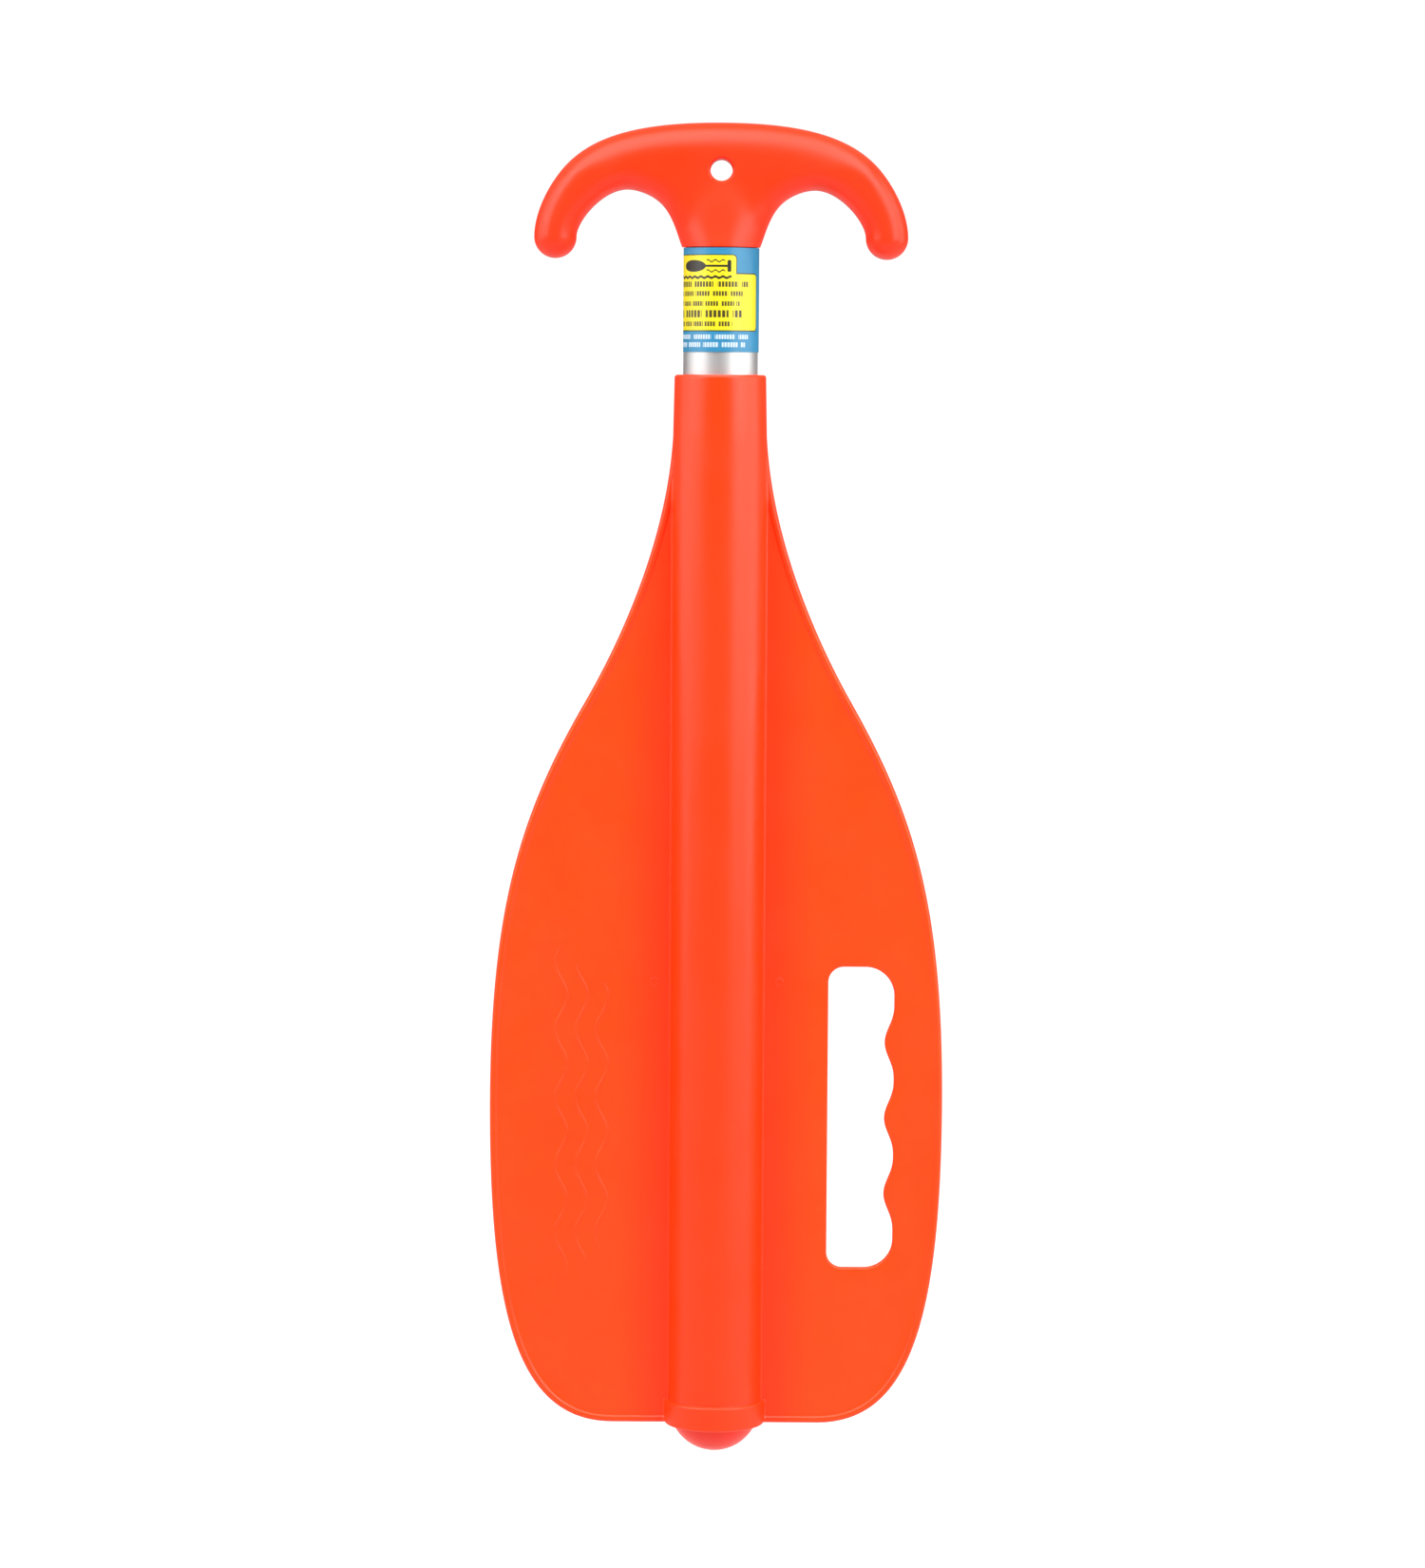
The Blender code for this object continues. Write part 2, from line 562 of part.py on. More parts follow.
def make_lock_plug(finish):
    """Nylon plug in the shaft's end: spigot, flange and the eccentric journal below it."""
    spigot = TUBE_RADIUS - TUBE_WALL - CLEARANCE
    top = FLANGE_TOP + PLUG_SPIGOT
    chamfer = 0.8
    plug = add_object("lock_plug", turned([
        (0.0, top), (spigot - chamfer, top), (spigot, top - chamfer), (spigot, FLANGE_TOP),
        (WASHER_RADIUS, FLANGE_TOP), (WASHER_RADIUS, FLANGE_BOTTOM), (0.0, FLANGE_BOTTOM)],
        ROUND_SEGMENTS - 16), finish)
    overlap = 1.0
    journal = turned([(0.0, FLANGE_BOTTOM + overlap), (JOURNAL_RADIUS, FLANGE_BOTTOM + overlap),
                      (JOURNAL_RADIUS, JOURNAL_BOTTOM), (0.0, JOURNAL_BOTTOM)],
                     ROUND_SEGMENTS - 16, ECCENTRICITY)
    boolean(plug, add_object("journal_join", journal, None), "UNION")
    pilot_top = WASHER_BOTTOM + SCREW_LENGTH + 1.5
    pilot_radius = SCREW_RADIUS + CLEARANCE
    pilot_bottom = JOURNAL_BOTTOM - 3.0
    pilot = turned([(0.0, pilot_top), (pilot_radius, pilot_top), (pilot_radius, pilot_bottom),
                    (0.0, pilot_bottom)], SMALL_SEGMENTS)
    boolean(plug, add_object("pilot_cut", pilot, None), "DIFFERENCE")
    pin_hole = PIN_RADIUS + CLEARANCE
    boolean(plug, radial_cutter("plug_pin_cut", PIN_HEIGHT, 0, pin_hole, -20.0, 20.0), "DIFFERENCE")


def make_spring_pin(finish):
    """Slotted spring pin: a rolled tube with an open seam."""
    half_length = TUBE_RADIUS - CLEARANCE
    seam = 50.0
    steps = 14
    outer = arc((0, 0), PIN_RADIUS, seam / 2, 360 - seam / 2, steps)
    inner = arc((0, 0), PIN_RADIUS - PIN_WALL, 360 - seam / 2, seam / 2, steps)
    section = outer + inner
    ends = (-half_length, half_length)
    rings = [[(x, depth, up(PIN_HEIGHT) + height) for x, height in section] for depth in ends]
    add_object("lock_plug_pin", skinned(rings), finish)


def make_cam_ring(finish, parent):
    """Split ring, thick on one side, with shallow grip grooves round the outside."""
    facets = RING_GROOVES * 4
    circle = []
    for k in range(facets):
        angle = 2 * math.pi * k / facets
        radius = RING_RADIUS - (RING_GROOVE_DEPTH if k % 4 == 3 else 0.0)
        circle.append((radius * math.cos(angle), radius * math.sin(angle)))
    heights = (RING_BOTTOM, RING_TOP)
    outside = skinned([[(x, y, up(h)) for x, y in circle] for h in heights])
    ring = add_object("cam_ring", outside, finish, parent, (ECCENTRICITY, 0.0, up(RING_BOTTOM)))
    past = 2.0
    bore = turned([(0.0, RING_TOP + past), (JOURNAL_RADIUS + CLEARANCE, RING_TOP + past),
                   (JOURNAL_RADIUS + CLEARANCE, RING_BOTTOM - past), (0.0, RING_BOTTOM - past)],
                  ROUND_SEGMENTS - 16, ECCENTRICITY)
    boolean(ring, add_object("cam_bore_cut", bore, None), "DIFFERENCE")
    half = RING_SPLIT / 2
    split = [(RING_RADIUS - 5.0, -half), (RING_RADIUS + past, -half), (RING_RADIUS + past, half),
             (RING_RADIUS - 5.0, half)]
    cut = [[(x, y, up(h)) for x, y in split] for h in (RING_BOTTOM - past, RING_TOP + past)]
    boolean(ring, add_object("cam_split_cut", skinned(cut), None), "DIFFERENCE")


def make_washer_and_screw(finish):
    top = WASHER_BOTTOM + WASHER_THICKNESS
    hole = SCREW_RADIUS + CLEARANCE
    edge = 0.3
    add_object("thrust_washer", turned([
        (WASHER_RADIUS - edge, top), (WASHER_RADIUS, top - edge), (WASHER_RADIUS, WASHER_BOTTOM + edge),
        (WASHER_RADIUS - edge, WASHER_BOTTOM), (hole, WASHER_BOTTOM), (hole, top)],
        ROUND_SEGMENTS - 16, closed=True), finish)
    under_head = WASHER_BOTTOM - CLEARANCE
    head_low = under_head - SCREW_HEAD_HEIGHT
    tip = under_head + SCREW_LENGTH
    core = SCREW_RADIUS - 0.4
    pitch = 1.6
    thread = []
    turns = int((SCREW_LENGTH - 4.0) / pitch)
    for k in range(turns):
        base = tip - 2.0 - pitch * k
        thread += [(core, base), (SCREW_RADIUS, base - 0.4 * pitch), (core, base - 0.8 * pitch)]
    head = [(SCREW_HEAD_RADIUS, under_head), (SCREW_HEAD_RADIUS, under_head - 0.8),
            (SCREW_HEAD_RADIUS - 0.5, head_low + 0.8), (SCREW_HEAD_RADIUS - 1.6, head_low)]
    screw = add_object("lock_screw", turned(
        [(0.0, tip)] + thread + [(SCREW_RADIUS, under_head)] + head + [(0.0, head_low)], SCREW_SEGMENTS), finish)
    arm, width, depth = 2.2, 0.9, 1.3
    for name, across, along in (("recess_x_cut", arm, width / 2), ("recess_y_cut", width / 2, arm)):
        square = [(-across, -along), (across, -along), (across, along), (-across, along)]
        rings = [[(x, y, up(h)) for x, y in square] for h in (head_low - 1.0, head_low + depth)]
        boolean(screw, add_object(name, skinned(rings), None), "DIFFERENCE")


def main():
    for old in list(bpy.data.objects):
        bpy.data.objects.remove(old, do_unlink=True)
    orange = material("orange_plastic", ORANGE)
    handle_orange = material("handle_plastic", HANDLE_ORANGE)
    aluminium = material("aluminium", ALUMINIUM)
    nylon = material("nylon", NYLON)
    steel = material("steel", STEEL)
    make_handle(handle_orange)
    make_rivet(aluminium, steel)
    make_shaft(aluminium)
    make_label(material("label_vinyl", LABEL_BLUE))
    make_lock_plug(nylon)
    make_spring_pin(steel)
    make_washer_and_screw(steel)
    twist = joint_empty("lock_twist_axis", ECCENTRICITY, RING_BOTTOM)
    make_cam_ring(nylon, twist)
    slide = joint_empty("telescope_axis", 0.0, MOUTH_HEIGHT, twist)
    make_blade(orange, slide)
    make_end_plug(orange, slide)


main()
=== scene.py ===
"""Looks of the telescoping boat paddle: fine meshes, procedural finishes, studio and camera.

Sizes are in millimetres and turned into metres when a mesh is made. Heights are measured upwards
from the tip of the end plug with the paddle closed, and up() turns a height into a Z coordinate.
"""

import json
import math

import bmesh
import bpy
import numpy as np
from mathutils import Matrix, Vector


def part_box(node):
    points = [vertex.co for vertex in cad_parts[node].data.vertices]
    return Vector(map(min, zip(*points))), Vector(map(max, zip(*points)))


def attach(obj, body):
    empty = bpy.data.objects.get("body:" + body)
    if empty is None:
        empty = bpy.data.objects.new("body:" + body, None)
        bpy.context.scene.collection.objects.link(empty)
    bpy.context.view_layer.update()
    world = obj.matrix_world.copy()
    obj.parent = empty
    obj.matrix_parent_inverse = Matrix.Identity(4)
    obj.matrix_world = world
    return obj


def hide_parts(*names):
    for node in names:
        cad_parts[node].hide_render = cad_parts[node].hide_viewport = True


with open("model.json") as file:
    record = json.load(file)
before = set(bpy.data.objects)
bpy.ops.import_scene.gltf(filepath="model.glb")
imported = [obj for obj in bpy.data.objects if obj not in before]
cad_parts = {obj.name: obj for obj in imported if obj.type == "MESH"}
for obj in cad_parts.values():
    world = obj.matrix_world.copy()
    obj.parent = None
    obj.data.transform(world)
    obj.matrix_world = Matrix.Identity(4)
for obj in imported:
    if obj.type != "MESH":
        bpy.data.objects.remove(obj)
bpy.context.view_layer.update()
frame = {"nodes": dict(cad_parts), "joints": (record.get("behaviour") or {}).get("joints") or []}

MM = 0.001
MERGE_DISTANCE = 2e-7


def node_box(node):
    """Lowest and highest corner of a CAD node, in millimetres."""
    low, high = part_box(node)
    return np.array(low) / MM, np.array(high) / MM


TIP_Z = node_box("end_plug")[0][2]


def up(height):
    """Z coordinate, in millimetres, of a height above the tip of the closed paddle."""
    return TIP_Z + height


def height_of(z):
    """Height of a Z coordinate, both in millimetres."""
    return z - TIP_Z


# Driving sizes, from the frame
BLADE_LOW, BLADE_HIGH = node_box("blade")
BLADE_BOTTOM = height_of(BLADE_LOW[2])
MOUTH_HEIGHT = height_of(BLADE_HIGH[2])
BLADE_HALF_WIDTH = BLADE_HIGH[0]
COLLAR_RADIUS = BLADE_HIGH[1]
TUBE_LOW, TUBE_HIGH = node_box("shaft_tube")
TUBE_RADIUS = TUBE_HIGH[0]
TUBE_BOTTOM = height_of(TUBE_LOW[2])
TUBE_TOP = height_of(TUBE_HIGH[2])
LABEL_LOW, LABEL_HIGH = node_box("shaft_label")
LABEL_RADIUS = LABEL_HIGH[0]
LABEL_BOTTOM = height_of(LABEL_LOW[2])
HANDLE_TOP = height_of(node_box("handle")[1][2])
PLUG_TOP = height_of(node_box("end_plug")[1][2])
RING_TOP = height_of(node_box("cam_ring")[1][2])
TRAVEL = next(j["range_m"][1] for j in frame["joints"] if j["name"] == "telescope") / MM

# Blade, as in the CAD model
TUBE_WALL = 1.2
MOUTH_RADIUS = 15.6
MOUTH_ROUND = 1.0
MOUTH_TAPER_END = 352.0
SOCKET_RADIUS = 16.0
SOCKET_FOOT_ROUND = 0.2
BORE_RADIUS = 14.0
LIP_BORE_RADIUS = 13.2
LIP_BOTTOM = RING_TOP + TRAVEL + 0.3
COLLAR_TOP = 18.0
COLLAR_ROUND = 0.7
WIDEST_HEIGHT = 119.8
WEB_TOP = 357.4
WEB_START_IN = 0.16
WEB_HALF = 1.7
WEB_FILLET = 1.2

# Rim bead: rounded over RIM_EDGE, level up to RIM_TOP, and down to the web at RIM_WIDTH
RIM_HALF = 2.2
RIM_EDGE = 1.1
RIM_TOP = 1.8
RIM_WIDTH = 2.8

# Marks on the web's front
WAVE_CENTRES = (-53.5, -46.5, -39.5)
WAVE_LOW = 58.0
WAVE_HIGH = 176.0
WAVE_SHORTER = 6.0
WAVE_SWING = 2.1
WAVE_LENGTH = 23.6
WAVE_HALF_WIDTH = 0.55
WAVE_RISE = 0.15
WITNESS_X = 21.5
WITNESS_HEIGHT = 163.7
WITNESS_RADIUS = 1.35

# Hand slot
SLOT_LEFT = 38.4
SLOT_RIGHT = 61.35
SLOT_TOP = 169.15
SLOT_BOTTOM = 64.2
SLOT_LEFT_ROUND = 5.5
SLOT_RIGHT_ROUND = 10.1
BUMP_TOP_HEIGHT = 142.9
BUMP_PITCH = 26.35
BUMP_COUNT = 3
BUMP_SIZE = 3.2
BUMP_SHARPNESS = 1.3
SLOT_EDGE_ROUND = 0.6

# Handle
HANDLE_HALF_DEPTH = 9.0
HANDLE_ROUND_IN = 6.9
HANDLE_TOP_ROUND_IN = 11.0
HANDLE_ROUND_DEPTH = 8.2
HANDLE_VOXEL = 0.45
SHOULDER_HEIGHT = 415.15
SHOULDER_RADIUS = 13.3
SOLE_SPARE = 4.0
NECK_TOP = 440.0
NECK_SPREAD = 0.39
NECK_HALF_WIDTH = 18.0
NECK_SUNK = 0.4
HANG_HOLE_RADIUS = 3.8
HANG_HOLE_FLARE = 0.8
SPIGOT_LENGTH = 30.0
SPIGOT_GAP = 0.3

# End plug
DOME_RADIUS = 15.7
PLUG_WALL = 2.0
PLUG_GAP = 0.3


# Mesh helpers -----------------------------------------------------------------------------------

def make_object(name, points, faces, sharp=40.0):
    """Object from points in millimetres, with its origin at the frame's origin."""
    mesh = bpy.data.meshes.new(name)
    mesh.from_pydata([tuple(p) for p in np.asarray(points, float) * MM], [], faces)
    return finish_mesh(name, mesh, sharp)


def finish_mesh(name, mesh, sharp):
    """Merge, orient and smooth a mesh up to an angle of sharp degrees, and link it as an object."""
    bm = bmesh.new()
    bm.from_mesh(mesh)
    bmesh.ops.remove_doubles(bm, verts=bm.verts, dist=MERGE_DISTANCE)
    bmesh.ops.recalc_face_normals(bm, faces=bm.faces)
    bm.to_mesh(mesh)
    bm.free()
    mesh.shade_smooth()
    mesh.set_sharp_from_angle(angle=math.radians(sharp))
    thing = bpy.data.objects.new(name, mesh)
    bpy.context.scene.collection.objects.link(thing)
    return thing


def grid_faces(rows, columns, wrap=False):
    """Quads over a grid of points stored row by row."""
    faces = []
    last = columns if wrap else columns - 1
    for r in range(rows - 1):
        for c in range(last):
            a = r * columns + c
            b = r * columns + (c + 1) % columns
            faces.append((a, b, b + columns, a + columns))
    return faces


def joined(*shapes):
    """Points and faces of several shapes as those of one."""
    points, faces = [], []
    for new_points, new_faces in shapes:
        faces += [tuple(i + len(points) for i in face) for face in new_faces]
        points += new_points
    return points, faces


def skinned(rings):
    """Points and faces of a closed skin over rings of equal point counts."""
    count = len(rings[0])
    points = [p for ring in rings for p in ring]
    faces = grid_faces(len(rings), count, wrap=True)
    faces.append(tuple(range(count))[::-1])
    faces.append(tuple(range(len(points) - count, len(points))))
    return points, faces


def turned(profile, segments, closed=False):
    """Points and faces of a solid of revolution about the vertical axis."""
    profile = list(profile) + ([profile[0]] if closed else [])
    points = []
    for radius, height in profile:
        for k in range(segments):
            angle = 2 * math.pi * k / segments
            points.append((radius * math.sin(angle), -radius * math.cos(angle), up(height)))
    return points, grid_faces(len(profile), segments, wrap=True)


def arc(centre, radius, start, end, steps):
    """Points on an arc from start to end, in degrees anticlockwise from +X, ends included."""
    angles = np.radians(np.linspace(start, end, steps + 1))
    return [(centre[0] + radius * math.cos(a), centre[1] + radius * math.sin(a)) for a in angles]


def bezier(start, first, second, end, steps):
    """Points on a cubic Bezier curve, without its end point."""
    t = np.arange(steps)[:, None] / steps
    start, first, second, end = (np.array(p, float) for p in (start, first, second, end))
    curve = (1 - t) ** 3 * start + 3 * (1 - t) ** 2 * t * first
    curve += 3 * (1 - t) * t**2 * second + t**3 * end
    return [tuple(p) for p in curve]


def right_of(directions):
    """Unit vectors that point to the right of each direction."""
    unit = directions / np.linalg.norm(directions, axis=1)[:, None]
    return np.column_stack((unit[:, 1], -unit[:, 0]))


def round_trip(outline):
    """Direction of travel at each point of a closed outline."""
    return np.roll(outline, -1, axis=0) - np.roll(outline, 1, axis=0)


def smooth_step(share):
    """0 below 0 and 1 above 1, with a soft start and end between."""
    share = np.clip(share, 0.0, 1.0)
    return share * share * (3 - 2 * share)


# Blade ------------------------------------------------------------------------------------------

def side_edge():
    """Right edge of the web as (half width, height) points, from the socket down to the bottom."""
    root = (SOCKET_RADIUS - WEB_START_IN, WEB_TOP)
    shoulder = (45.8, 259.9)
    widest = (BLADE_HALF_WIDTH, WIDEST_HEIGHT)
    bottom = (35.4, BLADE_BOTTOM)
    edge = bezier(root, (SOCKET_RADIUS, 318.2), (34.6, 279.4), shoulder, 120)
    edge += bezier(shoulder, (67.8, 221.5), (BLADE_HALF_WIDTH, 189.0), widest, 120)
    edge += bezier(widest, (BLADE_HALF_WIDTH, 44.9), (67.7, BLADE_BOTTOM), bottom, 240)
    return np.array(edge + [bottom])


SIDE_EDGE = side_edge()
EDGE_RUN = np.diff(SIDE_EDGE, axis=0, append=[[0.0, BLADE_BOTTOM]])
EDGE_ALONG = np.gradient(SIDE_EDGE, axis=0)
EDGE_ALONG[-1] = (-1.0, 0.0)
INWARDS = right_of(EDGE_ALONG)


def web_half_width(height, inset=0.0):
    """Half width of the web at a height, less the strip within a distance of its edge.

    Below the strip's lowest point there is no such width, and columns draw in steadily instead.
    """
    draw_in = 1.5
    line = SIDE_EDGE + INWARDS * inset
    lowest = BLADE_BOTTOM + inset
    if height < lowest:
        return SIDE_EDGE[-1, 0] - draw_in * (lowest - height)
    return float(np.interp(height, line[::-1, 1], line[::-1, 0], right=0.0))


def edge_distance(x, height):
    """Distances from points of one row of the web to the blade's edge."""
    x = np.asarray(x)[:, None]
    share = (x - SIDE_EDGE[:, 0]) * EDGE_RUN[:, 0] + (height - SIDE_EDGE[:, 1]) * EDGE_RUN[:, 1]
    share = np.clip(share / (EDGE_RUN**2).sum(axis=1), 0.0, 1.0)
    near = SIDE_EDGE + EDGE_RUN * share[:, :, None]
    return np.hypot(near[:, :, 0] - x, near[:, :, 1] - height).min(axis=1)


def plate_half_thickness(distance):
    """Half thickness of the web with its rim bead, by distance from the edge."""
    distance = np.asarray(distance, float)
    nose = RIM_HALF * np.sqrt(np.clip(1.0 - (1.0 - distance / RIM_EDGE) ** 2, 0.0, 1.0))
    flat = RIM_HALF + (WEB_HALF - RIM_HALF) * smooth_step((distance - RIM_TOP) / (RIM_WIDTH - RIM_TOP))
    return np.where(distance < RIM_EDGE, nose, flat)


def socket_radius(height):
    """Outer radius of the socket tube, with its rounded mouth and its bottom collar."""
    if height <= COLLAR_TOP:
        into_top = max(height - (COLLAR_TOP - COLLAR_ROUND), 0.0)
        into_bottom = max(BLADE_BOTTOM + COLLAR_ROUND - height, 0.0)
        into = max(into_top, into_bottom)
        return COLLAR_RADIUS - COLLAR_ROUND + math.sqrt(COLLAR_ROUND**2 - into**2)
    into_foot = max(SOCKET_FOOT_ROUND - (height - COLLAR_TOP), 0.0)
    foot = SOCKET_FOOT_ROUND - math.sqrt(SOCKET_FOOT_ROUND**2 - into_foot**2)
    taper = min(max((height - MOUTH_TAPER_END) / (MOUTH_HEIGHT - MOUTH_TAPER_END), 0.0), 1.0)
    radius = SOCKET_RADIUS + foot + (MOUTH_RADIUS - SOCKET_RADIUS) * taper
    into_round = max(height - (MOUTH_HEIGHT - MOUTH_ROUND), 0.0)
    return radius - MOUTH_ROUND + math.sqrt(max(MOUTH_ROUND**2 - into_round**2, 0.0))


# Columns across one half of a row: the tube, the fillet, the flat web and the rim. Rows and columns
# both stand at RIM_INSETS from the edge. At the bottom, a strip narrower than SLIVER is closed up.
TUBE_COLUMNS = 28
FILLET_COLUMNS = 8
FLAT_COLUMNS = 12
RIM_INSETS = (2.8, 2.6, 2.4, 2.2, 2.0, 1.8, 1.45, 1.1, 0.88, 0.66, 0.46, 0.3, 0.17, 0.08, 0.02, 0.0)
SLIVER = 0.05


def root_of_web(height, radius, edge):
    """Where the tube's circle ends, where the web starts, its half thickness there, and the fillet.

    The fillet depends on the half thickness and the other way round, so both settle in a few rounds.
    """
    half = WEB_HALF
    for _ in range(6):
        room = ((edge - RIM_EDGE) ** 2 - radius**2 + half**2) / (2 * (radius - half))
        fillet = min(max(room, 0.0), WEB_FILLET) * half / RIM_HALF
        start = math.sqrt((radius + fillet) ** 2 - (half + fillet) ** 2)
        from_edge = min(max(edge - start, 0.0), height - BLADE_BOTTOM)
        half = float(plate_half_thickness(from_edge))
    if fillet > 0.0:
        return start * radius / (radius + fillet), start, half, fillet
    x = np.linspace(radius - 3.0, min(edge, radius), 600)
    above = np.sqrt(np.clip(radius**2 - x**2, 0.0, None)) - plate_half_thickness(edge - x)
    crossing = x[above >= 0.0][-1] if edge > radius and height > BLADE_BOTTOM else radius
    return crossing, crossing, math.sqrt(max(radius**2 - crossing**2, 0.0)), 0.0


def blade_row(height):
    """Columns (x, half depth) of one row, from the middle to the side edge."""
    radius = socket_radius(height)
    edge = max(web_half_width(height), radius)
    tube_end, web_start, half, fillet = root_of_web(height, radius, edge)
    angles = np.linspace(0.0, math.asin(min(tube_end / radius, 1.0)), TUBE_COLUMNS)
    tube = [(radius * math.sin(a), radius * math.cos(a)) for a in angles]
    if angles[-1] > math.pi / 2 - 1e-6:
        tube[-1] = (radius, 0.0)
    turn = np.linspace(math.atan2(half + fillet, web_start) - math.pi, -math.pi / 2, FILLET_COLUMNS)
    corner = [(web_start + fillet * math.cos(a), half + fillet * (1 + math.sin(a))) for a in turn]
    rim = [max(web_half_width(height, inset), web_start) for inset in RIM_INSETS[:-1]] + [edge]
    flat = list(np.linspace(web_start, rim[0], FLAT_COLUMNS + 1)[1:-1])
    depth = plate_half_thickness(edge_distance(flat + rim, height))
    outer = [(x, half if x <= web_start else float(d)) for x, d in zip(flat + rim, depth)]
    outer[-1] = (edge, 0.0)
    if height <= BLADE_BOTTOM:
        outer = [(edge if edge - x < SLIVER else x, 0.0) for x, _ in outer]
    return tube + corner + outer


def blade_heights():
    """Row heights: close where the outline or the socket changes, even between."""
    rim = [BLADE_BOTTOM + d for d in reversed(RIM_INSETS)]
    low = list(np.arange(BLADE_BOTTOM + 3.3, COLLAR_TOP - COLLAR_ROUND, 0.7))
    collar = [COLLAR_TOP - COLLAR_ROUND * d for d in (1.0, 0.8, 0.6, 0.4, 0.2, 0.08, 0.0)]
    collar += [COLLAR_TOP + d for d in (0.001, 0.02, 0.06, 0.12, 0.2)]
    corner = list(np.arange(19.2, 60.0, 1.2))
    middle = list(np.arange(60.0, 330.0, 2.0))
    top = list(np.arange(330.0, MOUTH_HEIGHT - MOUTH_ROUND - 0.4, 0.8))
    mouth = [MOUTH_HEIGHT - MOUTH_ROUND * (1 - math.sin(math.radians(a))) for a in range(0, 91, 10)]
    return rim + low + collar + corner + middle + top + mouth


def slot_outline():
    """Outline of the hand slot, with the finger hollows on its outer side."""
    bump_zone_top = BUMP_TOP_HEIGHT + BUMP_PITCH / 2
    bump_zone_bottom = bump_zone_top - BUMP_COUNT * BUMP_PITCH
    steps = 32 * BUMP_COUNT
    points = []
    for step in range(steps + 1):
        height = bump_zone_bottom + (bump_zone_top - bump_zone_bottom) * step / steps
        phase = 2 * math.pi * (height - BUMP_TOP_HEIGHT) / BUMP_PITCH
        rise = (0.5 + 0.5 * math.cos(phase)) ** BUMP_SHARPNESS
        points.append((SLOT_RIGHT - BUMP_SIZE * rise, height))
    right, left = SLOT_RIGHT - SLOT_RIGHT_ROUND, SLOT_LEFT + SLOT_LEFT_ROUND
    points += arc((right, SLOT_TOP - SLOT_RIGHT_ROUND), SLOT_RIGHT_ROUND, 0, 90, 20)
    points += arc((left, SLOT_TOP - SLOT_LEFT_ROUND), SLOT_LEFT_ROUND, 90, 180, 14)
    points += arc((left, SLOT_BOTTOM + SLOT_LEFT_ROUND), SLOT_LEFT_ROUND, 180, 270, 14)
    points += arc((right, SLOT_BOTTOM + SLOT_RIGHT_ROUND), SLOT_RIGHT_ROUND, 270, 360, 20)
    return np.array(points)


def slot_wall(bm):
    """Wall of the hand slot with rounded edges and a faint parting ridge; returns its two end loops."""
    outline = slot_outline()
    outwards = right_of(round_trip(outline))
    profile = [(SLOT_EDGE_ROUND * (1 - math.sin(a)), WEB_HALF - SLOT_EDGE_ROUND * (1 - math.cos(a)))
               for a in np.radians(range(0, 91, 15))]
    profile += [(-0.03, 0.12), (-0.1, 0.05)]
    profile += [(offset, -depth) for offset, depth in reversed(profile)]
    loops = []
    for offset, depth in profile:
        ring = outline + outwards * offset
        loops.append([bm.verts.new((x * MM, -depth * MM, up(h) * MM)) for x, h in ring])
    for lower, upper in zip(loops, loops[1:]):
        for i in range(len(lower)):
            j = (i + 1) % len(lower)
            bm.faces.new((lower[i], lower[j], upper[j], upper[i]))
    return loops[0], loops[-1]


def open_window(bm, side):
    """Remove the web's faces round the slot on one side and return the loose edges left."""
    margin = 2.4
    left, right = (SLOT_LEFT - margin) * MM, (SLOT_RIGHT + margin) * MM
    low, high = up(SLOT_BOTTOM - margin) * MM, up(SLOT_TOP + margin) * MM
    gone = []
    for face in bm.faces:
        xs = [v.co.x for v in face.verts]
        if max(xs) < left or min(xs) > right or face.calc_center_median().y * side < 0:
            continue
        zs = [v.co.z for v in face.verts]
        if max(zs) > low and min(zs) < high:
            gone.append(face)
    rim = {e for f in gone for e in f.edges}
    bmesh.ops.delete(bm, geom=gone, context="FACES")
    return [e for e in rim if e.is_valid and len(e.link_faces) == 1]


def blade_side(heights, rows, side):
    """Points and faces of the blade's front, side -1, or back, side 1."""
    points = []
    for height, half in zip(heights, rows):
        whole = [(-x, depth) for x, depth in half[:0:-1]] + half
        points += [(x, side * depth, up(height)) for x, depth in whole]
    return points, grid_faces(len(rows), 2 * len(rows[0]) - 1)


